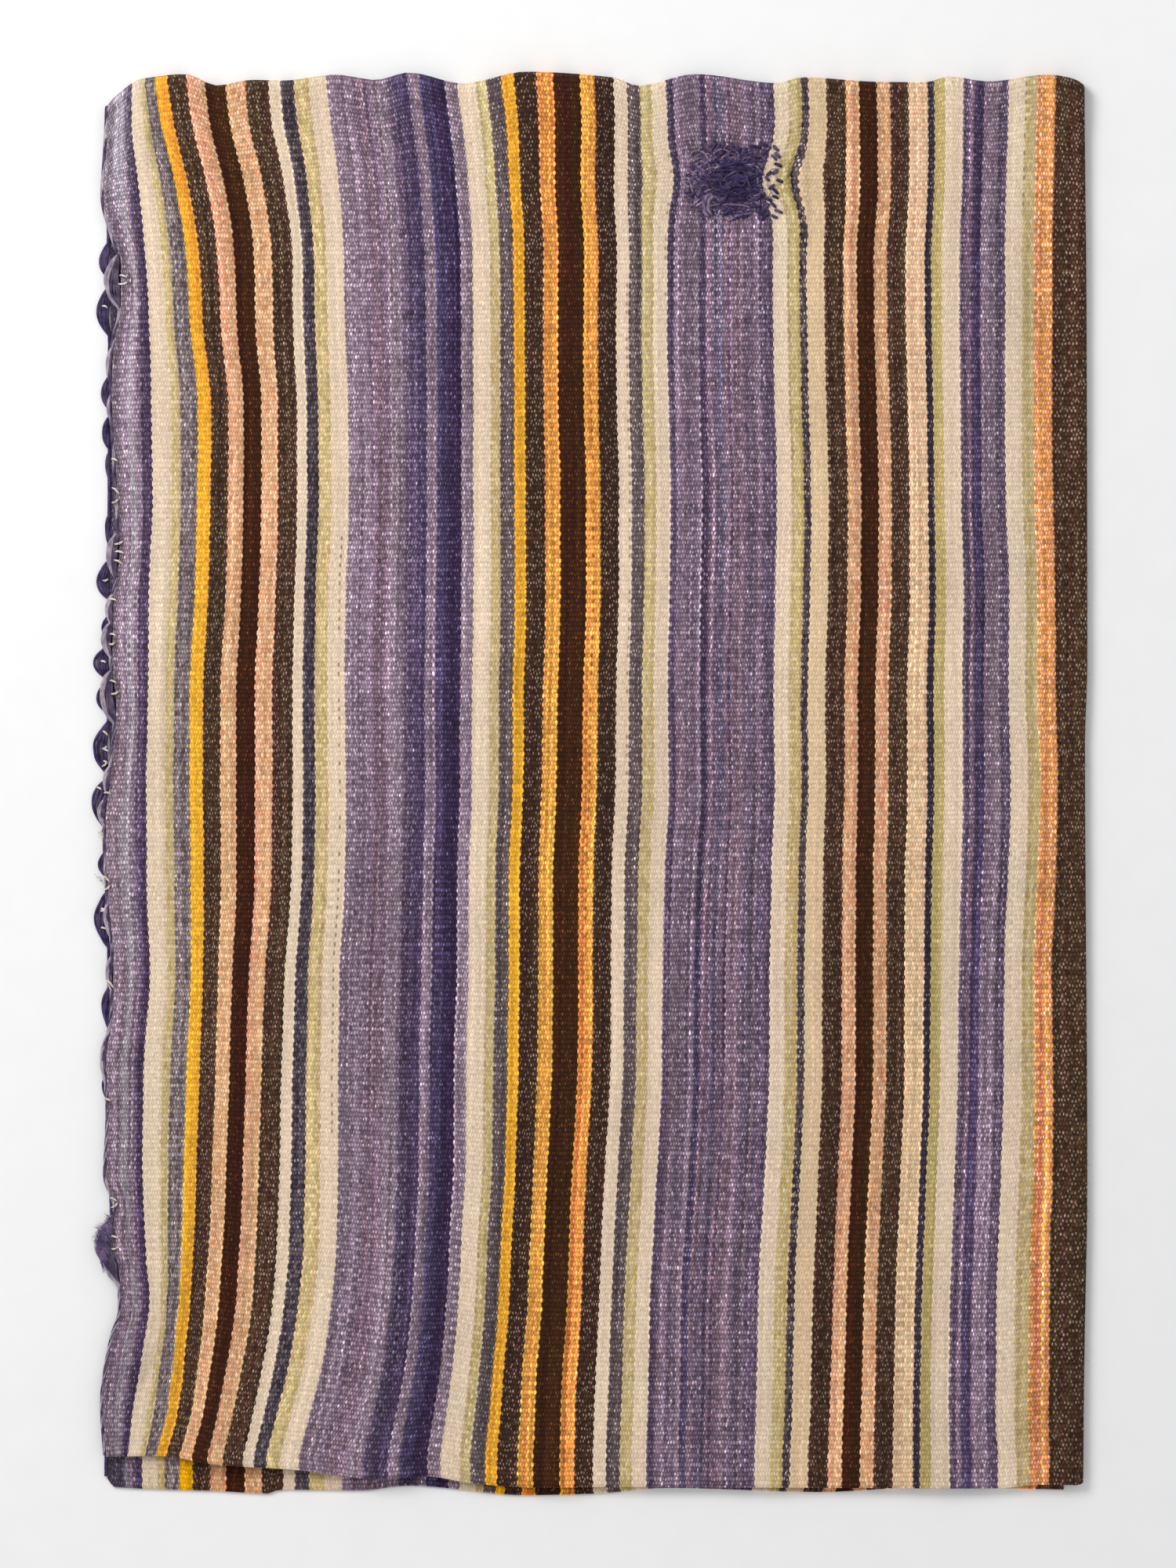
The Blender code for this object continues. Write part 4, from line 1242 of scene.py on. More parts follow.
@dataclass(frozen=True)
class YarnWool:
    """Loose handspun wool yarn, where its plies can be seen.

    The plies wind round each other, so the yarn has a slanting groove at every turn, and its dye
    is uneven, which gives the eye lighter and darker lengths.
    """

    name: str
    dark: str
    light: str
    twist: float = 3.4
    plies: float = 2.0
    groove_shade: float = 0.62
    crown_light: float = 1.08
    patch: float = 7.0
    hairs_per_metre: float = 2200.0
    relief: float = 0.25

    def material(self) -> Material:
        """Builds the yarn's material, which reads the UV map named yarn: turn and length in metres."""
        material, tree = blank_material(self.name)
        strand = add(tree, "UVMap", uv_map="yarn").outputs["UV"]
        inputs = {0: strand, 1: (self.plies, 1 / (self.twist * MM), 0)}
        wound = add(tree, "VectorMath", inputs, operation="DOT_PRODUCT").outputs["Value"]
        turned = add(tree, "Math", {0: wound, 1: 2 * math.pi}, operation="MULTIPLY")
        wave = add(tree, "Math", {0: turned}, operation="COSINE")
        inputs = {"Value": wave, "From Min": -1.0, "From Max": 0.6}
        crown = add(tree, "MapRange", inputs, interpolation_type="SMOOTHSTEP")
        where = add(tree, "TexCoord").outputs["Object"]
        dyed = add(tree, "TexNoise", {"Vector": where, "Scale": 1 / (self.patch * MM), "Detail": 3.0})
        dyed = add(tree, "MapRange", {"Value": dyed, "From Min": 0.36, "From Max": 0.64})
        first, second, out = MIX_COLOUR
        inputs = {0: dyed, first: (*linear(self.dark), 1), second: (*linear(self.light), 1)}
        colour = add(tree, "Mix", inputs, data_type="RGBA").outputs[out]
        hair = add(tree, "TexNoise", {"Vector": where, "Scale": self.hairs_per_metre, "Detail": 2.0})
        inputs = {0: crown, 1: self.crown_light - self.groove_shade, 2: self.groove_shade}
        shade = add(tree, "Math", inputs, operation="MULTIPLY_ADD")
        inputs = {"Value": hair, "From Min": 0.3, "From Max": 0.7, "To Min": 0.85, "To Max": 1.15}
        haze = add(tree, "MapRange", inputs)
        shade = add(tree, "Math", {0: shade, 1: haze}, operation="MULTIPLY")
        colour = add(tree, "VectorMath", {0: colour, "Scale": shade}, operation="SCALE")
        height = add(tree, "Math", {0: hair, 1: 0.4, 2: crown}, operation="MULTIPLY_ADD")
        wool_surface(tree, colour, height, self.relief, 0.04)
        return material


def dress(piece: Object, slot: str, *nodes: str) -> Object:
    """Fixes a piece to the frame.

    Args:
        piece: the piece.
        slot: the record's material slot for its finish, which is not used.
        *nodes: the CAD nodes that it stands for.

    Returns:
        The same piece.
    """
    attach(piece, BODY)
    if nodes:
        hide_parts(*nodes)
    LOG.info("%s: %d faces", piece.name, len(piece.data.polygons))
    return piece


@dataclass(frozen=True)
class FoldedCloth:
    """The woven cloth itself, folded once across, with the rims of a thick soft cloth."""

    lay: ClothLay
    columns: int = 118
    edge_columns: tuple[float, ...] = (0.0, 0.3, 0.9, 2.0, 4.5, 8.0)
    edge_band: float = 12.0
    left_columns: tuple[float, ...] = (3.2, 5.6, 6.8, 9.6, 10.8)
    dense_bands: tuple[tuple[float, float, float], ...] = (
        (478.0, 506.0, 1.8), (13.2, 36.0, 2.0), (38.0, 64.0, 3.0),
    )
    lower_rows: int = 34
    lower_crowding: float = 1.6
    fold_rows: int = 18
    upper_rows: int = 226
    upper_crowding: float = 1.12
    hem_rows: tuple[float, ...] = (0.0, 0.3, 0.9, 2.0)
    inmost_row: float = 0.995
    fold_reach: float = 90.0
    hem_reach: float = 520.0
    rim_radius: float = 1.7
    rim_blunt: float = 0.3

    @property
    def last_lower(self) -> int:
        """The number of the last row of the lower layer, at the fold."""
        return self.lower_rows + len(self.hem_rows)

    @property
    def first_upper(self) -> int:
        """The number of the first row of the upper layer."""
        return self.last_lower + self.fold_rows

    def column_places(self) -> np.ndarray:
        """The distances across at which the cloth is divided, closer where it has sharp creases."""
        edge = np.array(self.edge_columns)
        field = np.linspace(self.edge_band, self.lay.width - self.edge_band, self.columns)
        for start, stop, step in self.dense_bands:
            field = field[(field < start - step) | (field > stop + step)]
            field = np.concatenate([field, np.arange(start, stop, step)])
        return np.sort(np.concatenate([edge, self.left_columns, field, self.lay.width - edge]))

    def middle(self) -> tuple[np.ndarray, np.ndarray, np.ndarray]:
        """The middle surface of the cloth as rows of points, from the lower hem round to the upper one.

        Returns:
            The points in metres, each point's place in the cloth in metres, and the distance from
            the nearest hem in millimetres.
        """
        lay = self.lay
        across = self.column_places()
        zero = np.zeros_like(across)
        lift = lay.solid_lift(across, zero) + lay.fine_lift(across, zero)
        loop = (lay.upper_level + lift - lay.lower_level) / 2
        start = loop + lay.thickness / 2 - lay.fold_outline(across)
        half_turn = loop * math.pi / 2
        rows, lengths, from_hem = [], [], []
        end = through(LOWER_HEM, lay.lower_plan(across, zero + lay.folded_length))
        hem_shares = np.array(self.hem_rows) / lay.folded_length
        inner = np.linspace(self.inmost_row**self.lower_crowding, 0, self.lower_rows + 1)
        inner = inner ** (1 / self.lower_crowding)
        for share in [*(1 - hem_shares), *inner]:
            down = start + (end - start) * share
            rows.append(lay.spot(lay.lower_plan(across, down), down, zero + lay.lower_level))
            lengths.append(lay.folded_length - half_turn - share * (lay.folded_length - half_turn))
            from_hem.append((end - start) * (1 - share))
        for angle in np.linspace(-90, 90, self.fold_rows + 1)[1:-1]:
            turn = math.radians(angle)
            share = (1 + math.sin(turn)) / 2
            plan = lay.lower_plan(across, start) * (1 - share) + lay.upper_plan(across, start) * share
            height = lay.lower_level + loop * (1 + math.sin(turn))
            rows.append(lay.spot(plan, start - loop * math.cos(turn), height))
            lengths.append(lay.folded_length + half_turn * angle / 90)
            from_hem.append(zero + lay.folded_length)
        end = through(UPPER_HEM, lay.upper_plan(across, zero + lay.folded_length))
        turned = float(half_turn.mean())
        by_fold = half_turn - turned - start
        by_hem = lay.folded_length - turned - end
        inner = np.linspace(0, self.inmost_row ** (1 / self.upper_crowding), self.upper_rows + 1)
        inner = inner**self.upper_crowding
        for share in [*inner, *(1 - hem_shares[::-1])]:
            down = start + (end - start) * share
            free = ease(share / lay.loop_share)
            lift = lay.solid_lift(across, down) * free + lay.solid_lift(across, zero) * (1 - free)
            lift = lift + lay.fine_lift(across, down) * free + lay.fine_lift(across, zero) * (1 - free)
            rows.append(lay.spot(lay.upper_plan(across, down), down, lay.upper_level + lift))
            # The picks lie level, but follow the fold beside it and the hem beside that
            near_fold = 1 - ease((down - start) / self.fold_reach)
            near_hem = ease((down - self.hem_reach) / (end - self.hem_reach))
            lengths.append(lay.folded_length + turned + down + by_fold * near_fold + by_hem * near_hem)
            from_hem.append((end - start) * (1 - share))
        places = np.stack([np.broadcast_to(across, (len(rows), len(across))), np.array(lengths)], axis=-1)
        return np.stack(rows), places * MM, np.array(from_hem)

    def outward(self, middle: np.ndarray) -> np.ndarray:
        """The direction out of the folded cloth at each point of its middle surface."""
        normal = np.cross(np.gradient(middle, axis=0), np.gradient(middle, axis=1))
        normal[: self.last_lower + 1] = (0, 0, -1)
        return normal / np.linalg.norm(normal, axis=2, keepdims=True)

    def build(self, middle: np.ndarray, places: np.ndarray, from_hem: np.ndarray) -> Object:
        """Builds and dresses the cloth.

        Args:
            middle: the points of its middle surface.
            places: their places in the cloth.
            from_hem: their distances from the nearest hem.

        Returns:
            The cloth.
        """
        across = self.column_places()
        from_rim = np.minimum(np.minimum(across, self.lay.width - across), from_hem)
        inside = np.clip(from_rim / self.rim_radius, 0, 1)
        share = self.rim_blunt + (1 - self.rim_blunt) * np.sqrt(1 - (1 - inside) ** 2)
        offset = self.outward(middle) * share[..., None] * self.lay.thickness * MM / 2
        maker = MeshMaker("blanket_cloth", "weave")
        maker.closed_sheet(middle + offset, middle - offset, places, 1)
        # The outer face has faded in use, and the inner one has kept its colour
        outer = WarpFacedWool("warp-faced handspun wool, faded face")
        # The inner face darkens along its left selvedge: painted shade for the hollows under the cord
        inner = WarpFacedWool(
            "warp-faced handspun wool, inner face", saturation=1.06, value=0.93, painted_shade_edge=14.0
        )
        piece = maker.piece([outer.material(self.lay), inner.material(self.lay)])
        return dress(piece, "wool_cloth", "cloth")


@dataclass(frozen=True)
class SelvedgeCord:
    """The thick cord of warp yarns down the left selvedge, which has worked loose in loops."""

    lay: ClothLay
    radius: float = 1.8
    hug: float = 0.8
    seat: float = 0.2
    strand_radius: float = 1.0
    strand_offset: float = 0.45
    upper_shares: tuple[float, ...] = (0.12, 0.29, 0.45, 0.6, 0.75, 0.88, 1.0)
    shaded_share: float = 0.65
    lower_shares: tuple[float, ...] = (0.14, 0.32, 0.5, 0.67, 0.84, 1.0)
    share_wander: float = 0.05
    bow: float = 0.8
    twist: float = 34.0
    step: float = 1.7
    sides: int = 6

    def looped_out(self, down: float, loops: Iterable[LooseLoop]) -> float:
        """How far the cord loops out from the selvedge at a distance down."""
        return max(
            loop.reach * max(1 - ((down - loop.down) / loop.half_length) ** 2, 0.0) ** self.bow
            for loop in loops
        )

    def beside(
        self, edge: np.ndarray, loops: Sequence[LooseLoop], share: float, phase: float
    ) -> list[tuple[float, float, float]]:
        """The line of one strand beside one layer's left edge, from the top of the edge down.

        Args:
            edge: the edge's points in millimetres, from the top down.
            loops: where the cord loops out.
            share: how far this strand follows the loops out.
            phase: where its small irregularities start.

        Returns:
            The points of the line.
        """
        down = self.lay.down_centre - edge[:, 1]
        route = []
        for place in np.arange(down.min(), down.max(), self.step):
            x, z = self.lay.beside_edge(edge, place)
            wander = self.share_wander * math.sin(place / 9.7 + phase) * math.sin(place / 4.3 + 2 * phase)
            out = self.hug + self.looped_out(place, loops) * min(share + wander, 1.0)
            route.append((x - out, self.lay.down_centre - place, max(z, self.radius) + self.seat))
        return route

    def wound(self, line: np.ndarray, turn: float) -> np.ndarray:
        """Winds a strand round the line that it follows.

        Args:
            line: the points of the line, in millimetres.
            turn: the strand's share of the turn round the cord.

        Returns:
            The points of the strand's own middle line.
        """
        along = np.gradient(line, axis=0)
        along /= np.linalg.norm(along, axis=1, keepdims=True)
        side = np.cross(along, np.cross((1.0, 0.0, 0.0), along))
        side /= np.linalg.norm(side, axis=1, keepdims=True)
        other = np.cross(along, side)
        lengths = np.concatenate([[0], np.cumsum(np.linalg.norm(np.diff(line, axis=0), axis=1))])
        angle = 2 * math.pi * (lengths / self.twist + turn) + 0.8 * np.sin(lengths / 47 + 6 * turn)
        around = side * np.cos(angle)[:, None] + other * np.sin(angle)[:, None]
        path = line + around * self.strand_offset
        path[:, 2] = np.maximum(path[:, 2], self.strand_radius + 0.05)
        return path

    def build(self, cloth: FoldedCloth, middle: np.ndarray) -> Object:
        """Builds and dresses the cord's strands, which spread like a fan where it loops out.

        Args:
            cloth: the cloth that it lies beside.
            middle: the points of the cloth's middle surface.

        Returns:
            The cord.
        """
        edge = middle[:, 0] / MM
        bend = edge[cloth.last_lower + 1 : cloth.first_upper] - (self.hug, 0, -self.seat)
        half = len(bend) // 2
        maker = MeshMaker("blanket_selvedge_cord", "yarn")
        for shares, side, loops, turned, finish in (
            (self.upper_shares, edge[cloth.first_upper :], UPPER_LOOPS, bend[half::3], 0),
            (self.lower_shares, edge[cloth.last_lower :: -1], LOWER_LOOPS, bend[half::-3], 1),
        ):
            for number, share in enumerate(shares):
                line = np.array([*turned, *self.beside(side, loops, share, 1.7 * number + finish)])
                path = self.wound(line, number / len(shares))
                # Painted shade: inner strands of the upper loops take a darker copy of the yarn, for the
                # hollow
                shaded = 2 if finish == 0 and share < self.shaded_share else finish
                maker.tube(path, lambda _: self.strand_radius, self.sides, shaded)
        # Thick soft yarn, faded on the upper layer, while below it has kept its first deep colour
        yarns = [
            YarnWool(f"handspun wool yarn, {lot}", dark, light, twist=9.0, groove_shade=groove_shade)
            for lot, dark, light, groove_shade in (
                ("faded lavender", "#94869a", "#c2b6bd", 0.8),
                ("deep indigo", "#30264a", "#5d4e73", 0.75),
                # A darker copy of the faded lavender: painted shade for the hollows in the upper loops
                ("mauve", "#3f3450", "#6d5d75", 0.75),
            )
        ]
        piece = maker.piece([yarn.material() for yarn in yarns])
        return dress(piece, "wool_cord", "selvedge_cord")


@dataclass(frozen=True)
class Darn:
    """The darn: a dense core of long stitches, with short ends, loops and specks of yarn all round."""

    lay: ClothLay
    touch_gap: float = 0.35
    edge: float = 0.7
    core_over: float = -3.0
    core_half_width: float = 17.0
    core_half_length: float = 15.0
    core_crown: float = 1.3
    core_inset: float = 0.94
    bump_over: float = 4.2
    bump_under: float = 2.2
    bump_height: float = 0.5
    middle_over: float = -7.0
    middle_under: float = 1.8
    half_width: float = 33.0
    half_length: float = 28.0
    cells: int = 30
    rows: int = 12
    stitches: int = 470
    tufts: int = 16
    fuzz: int = 150
    bare_over: float = 15.0
    paler_over: float = -12.0
    stroke_over: float = 11.5
    strokes_under: tuple[float, ...] = (-24.0, -17.0, -3.5, 4.0, 12.0, 19.0)
    speck_rows: int = 12
    speck_pitch: float = 4.6
    speck_over: float = 14.5
    speck_under: float = -24.0
    yarn_radius: float = 0.95

    def top(self, over: Any, under: Any) -> Any:
        """The height of the cloth or of the darn's core at a point measured from the darn's middle."""
        distance = np.hypot((over - self.core_over) / self.core_half_width, under / self.core_half_length)
        seat = self.lay.upper_level + self.lay.thickness / 2 + self.lay.darn_level + self.touch_gap
        return seat + self.edge * (distance < 1) + self.core_crown * np.clip(1 - distance**2, 0, 1)

    def core(self, maker: MeshMaker) -> None:
        """Adds the solid core to a mesh."""
        steps = np.linspace(-1, 1, self.cells + 1)
        square_over, square_under = np.meshgrid(steps, steps)
        across = square_over * np.sqrt(1 - square_under**2 / 2)
        along = square_under * np.sqrt(1 - square_over**2 / 2)
        over = self.core_over + across * self.core_half_width * self.core_inset
        under = along * self.core_half_length * self.core_inset
        bumps = [
            noise.noise(Vector((x / self.bump_over, y / self.bump_under, 5.5)))
            for x, y in zip(over.ravel(), under.ravel())
        ]
        top = self.top(over, under) + self.bump_height * np.array(bumps).reshape(over.shape) - 0.3
        seat = np.full_like(over, self.top(1e3, 1e3))
        plan, down = self.lay.darn_across + over, self.lay.darn_down + under
        places = np.stack([over, under], axis=-1) * MM
        maker.closed_sheet(self.lay.spot(plan, down, top), self.lay.spot(plan, down, seat), places, 0)

    def stitch(
        self, chance: random.Random, over: float, under: float, lean: float, half: float, rise: float
    ) -> Path:
        """The path of one stitch, which rises out of the cloth, lies over it and goes in again.

        Args:
            chance: the source of its small irregularities.
            over: how far its middle lies right of the darn's middle.
            under: how far its middle lies below the darn's middle.
            lean: its slope, in radians.
            half: half its length.
            rise: how far its middle lies above what is under it.

        Returns:
            The points of its middle line.
        """
        bow = chance.gauss(0, 0.13) * half
        path = []
        for share in np.linspace(-1, 1, 9):
            along, aside = share * half, bow * (1 - share**2)
            x = over + along * math.cos(lean) - aside * math.sin(lean)
            y = under + along * math.sin(lean) + aside * math.cos(lean)
            height = float(self.top(x, y)) + rise - (rise + 0.9) * abs(share) ** 5
            path.append(tuple(self.lay.spot(self.lay.darn_across + x, self.lay.darn_down + y, height) / MM))
        return path

    def sew(self, maker: MeshMaker, path: Path, thick: float, finish: int) -> None:
        """Adds one stitch, which thins a little towards its ends."""
        maker.tube(path, lambda share: thick * (1 - 0.45 * abs(2 * share - 1) ** 4), 6, finish)

    def arc(self, arc: DarnArc) -> Path:
        """The path of one loop that stands on the darn."""
        path = []
        for share in np.linspace(0, 1, 17):
            angle = math.radians(arc.start + (arc.stop - arc.start) * share)
            over = arc.over + arc.half_over * math.cos(angle)
            under = arc.under + arc.half_under * math.sin(angle)
            height = float(self.top(over, under)) + 1.5 - 2.6 * abs(2 * share - 1) ** 6
            place = self.lay.spot(self.lay.darn_across + over, self.lay.darn_down + under, height)
            path.append(tuple(place / MM))
        return path

    def build(self) -> Object:
        """Builds and dresses the darn."""
        chance = random.Random(11)
        maker = MeshMaker("blanket_darn", "yarn")
        self.core(maker)
        # Short stitches in four lots of yarn, which catch down the cloth round the core
        for _ in range(self.stitches):
            distance, angle = chance.uniform(0.5, 1.0), chance.uniform(0, 2 * math.pi)
            over = self.middle_over + distance * math.cos(angle) * self.half_width * 0.93
            under = self.middle_under + distance * math.sin(angle) * self.half_length * 0.9
            lots = (0, 0, 1, 1, 1, 2) if over > self.paler_over else (0, 1, 1, 1, 2, 2, 2, 3)
            finish = chance.choice(lots)
            if over > self.bare_over:
                continue
            path = self.stitch(chance, over, under, chance.gauss(0.1, 0.8), chance.uniform(1.6, 4.6), 0.6)
            self.sew(maker, path, self.yarn_radius * chance.uniform(0.6, 1.05), finish)
        # Long strands laid side by side over the core, and a few that cross them
        for row in range(self.rows):
            under = (2 * row / (self.rows - 1) - 1) * self.core_half_length * 0.9
            wide = math.sqrt(max(1.15 - (under / self.core_half_length) ** 2, 0.2)) * self.core_half_width
            over = self.core_over + chance.gauss(0, 2.0)
            lean, half = chance.gauss(0, 0.13), wide * chance.uniform(0.75, 1.05)
            path = self.stitch(chance, over, under, lean, half, 0.9)
            self.sew(maker, path, self.yarn_radius * chance.uniform(1.2, 1.5), 0)
            over, across = chance.uniform(-12.0, 8.0), chance.gauss(0, 0.5)
            path = self.stitch(chance, over, under * 0.9, across, chance.uniform(3.5, 8.0), 2.1)
            self.sew(maker, path, self.yarn_radius * chance.uniform(0.9, 1.3), chance.choice((0, 0, 0, 1)))
        for arc in DARN_ARCS:
            self.sew(maker, self.arc(arc), self.yarn_radius * arc.thick, 2)
        # Ends that stand up and out along the top
        for _ in range(self.tufts):
            over, under = chance.uniform(-25.0, 4.0), chance.uniform(-27.0, -17.0)
            path = self.stitch(chance, over, under, chance.gauss(1.4, 0.5), chance.uniform(2.0, 4.0), 1.5)
            self.sew(maker, path, self.yarn_radius * chance.uniform(0.7, 1.0), chance.choice((0, 1)))
        # Fine fuzz that stands out of the stitches
        for _ in range(self.fuzz):
            distance, angle = chance.uniform(0.0, 1.05), chance.uniform(0, 2 * math.pi)
            over = self.middle_over + distance * math.cos(angle) * self.half_width
            under = self.middle_under + distance * math.sin(angle) * self.half_length
            lean, half = chance.uniform(0, math.pi), chance.uniform(1.5, 4.0)
            path = self.stitch(chance, over, under, lean, half, 1.7)
            self.sew(maker, path, chance.uniform(0.14, 0.26), chance.choice((1, 1, 2)))
        # Short strokes that run from the core into the cream stripe on the right
        for under in self.strokes_under:
            lean, half = chance.gauss(0, 0.25), chance.uniform(3.0, 5.5)
            path = self.stitch(chance, self.stroke_over, under, lean, half, 0.8)
            self.sew(maker, path, self.yarn_radius * 1.2, 0)
        # Small stitches in the cream stripe on the right, which show as dark specks
        for row in range(self.speck_rows):
            for column in range(2):
                over = self.speck_over + 8.5 * column + chance.uniform(0, 7.0)
                under = self.speck_under + self.speck_pitch * row + chance.uniform(-1.6, 1.6)
                lean, half = chance.choice((-0.7, 0.4, 0.8)), chance.uniform(1.8, 3.0)
                path = self.stitch(chance, over, under, lean, half, 0.5)
                self.sew(maker, path, self.yarn_radius * chance.uniform(1.15, 1.5), chance.choice((0, 1)))
        # Four lots of soft thick yarn, whose plies show as slanting shades along each stitch
        yarns = [
            YarnWool(f"darning yarn, {lot} wool", dark, light, twist=6.0, groove_shade=0.7)
            for lot, dark, light in (
                ("indigo", "#2c2346", "#46395f"),
                ("violet", "#473a60", "#665678"),
                ("mauve", "#6a5674", "#937d98"),
                ("pale lavender", "#8a7690", "#b3a0b4"),
            )
        ]
        piece = maker.piece([yarn.material() for yarn in yarns])
        return dress(piece, "darning_yarn", "darn")


@dataclass(frozen=True)
class WeftTurns:
    """The bits of cream weft that show where it turns round the loose cord, or has broken off."""

    lay: ClothLay
    radius: float = 0.78
    upper_over: float = 2.7
    lower_over: float = 2.9
    curl: float = 0.9

    def path(self, turn: WeftTurn, edge: np.ndarray, over: float) -> Path:
        """The path of one bit of weft, from the cloth over the cord.

        Args:
            turn: the bit of weft.
            edge: the points of the layer's left edge, from the top down, in millimetres.
            over: how high over the edge's middle it passes.

        Returns:
            The points of its middle line.
        """
        x, z = self.lay.beside_edge(edge, turn.down)
        path = []
        for share in np.linspace(0, 1, 9):
            out = -turn.inward + (turn.inward + turn.outward) * share
            height = z + over * math.sin(math.pi * (0.25 + 0.65 * share))
            curl = math.copysign(self.curl, turn.lean) * math.sin(math.pi * share)
            path.append((x - out, self.lay.down_centre - turn.down + turn.lean * out + curl, height))
        return path

    def build(self, cloth: FoldedCloth, middle: np.ndarray) -> Object:
        """Builds and dresses the bits of weft.

        Args:
            cloth: the cloth that they belong to.
            middle: the points of the cloth's middle surface.

        Returns:
            The bits of weft, as one piece.
        """
        edge = middle[:, 0] / MM
        maker = MeshMaker("blanket_weft_turns", "yarn")
        for turns, side, over in (
            (UPPER_WEFT_TURNS, edge[cloth.first_upper :], self.upper_over),
            (LOWER_WEFT_TURNS, edge[cloth.last_lower :: -1], self.lower_over),
        ):
            for turn in turns:
                path = self.path(turn, side, over)
                maker.tube(path, lambda share: self.radius * (1 - 0.6 * abs(2 * share - 1) ** 3), 6)
        # The weft is undyed wool, which shows as small pale knots against the purple
        cream = YarnWool("handspun wool yarn, undyed cream", "#d6c8b8", "#f2e9de")
        return dress(maker.piece([cream.material()]), "wool_cloth")


@dataclass(frozen=True)
class Tuft:
    """The tuft of felted violet wool that stands out at the left selvedge, near the lower corner."""

    lay: ClothLay
    down: float = 820.0
    half_length: float = 13.0
    reach: float = 15.5
    locks: int = 12
    hairs: int = 200
    combed: int = 150

    def root(self, edge: np.ndarray, place: float, share: float) -> tuple[float, float]:
        """Where a hair starts that stands on the loose cord.

        Args:
            edge: the points of the upper layer's left edge, from the top down, in millimetres.
            place: the distance down.
            share: how far out it starts, as a share of the cord's loop.

        Returns:
            How far right of the frame's middle it starts, and how high.
        """
        x, z = self.lay.beside_edge(edge, place)
        return x - SelvedgeCord(self.lay).looped_out(place, UPPER_LOOPS) * share, z

    def build(self, edge: np.ndarray) -> Object:
        """Builds and dresses the tuft.

        Args:
            edge: the points of the upper layer's left edge, from the top down, in millimetres.

        Returns:
            The tuft.
        """
        chance = random.Random(5)
        maker = MeshMaker("blanket_tuft", "yarn")
        # Locks, each with its place down the edge, its heading and its length
        locks = [
            (self.down + step * self.half_length, chance.gauss(2.2, 0.3), chance.uniform(3.0, 7.5))
            for step in np.linspace(-1, 1, self.locks)
        ]
        for _ in range(self.hairs):
            middle, toward, reach_out = chance.choice(locks)
            place = middle + chance.gauss(0, 0.8)
            x, z = self.root(edge, place, chance.uniform(0.5, 1.05))
            z += chance.uniform(-0.6, 1.6)
            length, heading = reach_out * chance.uniform(0.4, 1.0), toward + chance.gauss(0, 0.16)
            bend, rise = chance.gauss(-0.3, 0.4), chance.uniform(-0.1, 0.2)
            room = x - self.lay.beside_edge(edge, place)[0] + self.reach
            length = min(length, max(room / max(-math.cos(heading), 0.2), 2.0))
            heights = np.maximum(z + rise * length * np.linspace(0, 1, 6), 0.4)
            path = wisp((x, self.lay.down_centre - place), heading, bend, length, heights)
            thick = chance.uniform(0.16, 0.34)
            maker.tube(path, lambda share, thick=thick: thick * (1.05 - 0.85 * share), 4)
        # Longer wisps lie combed down along the loop
        for _ in range(self.combed):
            place = self.down + chance.uniform(-0.9, 1.3) * self.half_length
            x, z = self.root(edge, place, chance.uniform(0.55, 1.02))
            heading, bend = chance.gauss(-1.42, 0.1), chance.uniform(0.05, 0.3)
            length = chance.uniform(7.0, 14.0)
            heights = z + 1.5 + 0.5 * np.sin(math.pi * np.linspace(0, 1, 7))
            path = wisp((x, self.lay.down_centre - place), heading, bend, length, heights)
            thick = chance.uniform(0.25, 0.5)
            maker.tube(path, lambda share, thick=thick: thick * (1 - 0.5 * share), 5)
        # Wool that has come untwisted felts into soft wisps
        wisps = YarnWool("felted wool wisps, violet", "#584271", "#8b769c")
        return dress(maker.piece([wisps.material()]), "wool_cord")


@dataclass(frozen=True)
class StrayHairs:
    """Single hairs and broken yarn ends that stand out along the rims of the cloth."""

    lay: ClothLay
    count: int = 260
    radius: float = 0.11

    def build(self, cloth: FoldedCloth, middle: np.ndarray) -> Object:
        """Builds and dresses the hairs.

        Args:
            cloth: the cloth that they stand out from.
            middle: the points of its middle surface.

        Returns:
            The hairs, as one piece.
        """
        chance = random.Random(23)
        rims = (
            (middle[cloth.first_upper :, 0], math.pi),
            (middle[cloth.first_upper :, -1], 0.0),
            (middle[-1], -math.pi / 2),
            (middle[cloth.first_upper - cloth.fold_rows // 2], math.pi / 2),
        )
        maker = MeshMaker("blanket_stray_hairs", "yarn")
        for _ in range(self.count):
            rim, heading = rims[chance.choice((0, 0, 0, 1, 1, 2, 2, 3))]
            x, y, z = rim[chance.randrange(3, len(rim) - 3)] / MM
            heading += chance.gauss(0, 0.7)
            length, bend = chance.uniform(1.2, 3.6), chance.gauss(0, 0.9)
            heights = [max(z + chance.uniform(-0.2, 0.3), 0.3) for _ in range(4)]
            path = wisp((x, y), heading, bend, length, heights)
            maker.tube(path, lambda share: self.radius * (1.1 - 0.7 * share), 3)
        # Single fibres of wool, so fine that the eye sees only a pale fuzz along the rims
        pale = YarnWool("stray wool hairs", "#a08f8a", "#e2d3c2")
        return dress(maker.piece([pale.material()]), "wool_cloth")


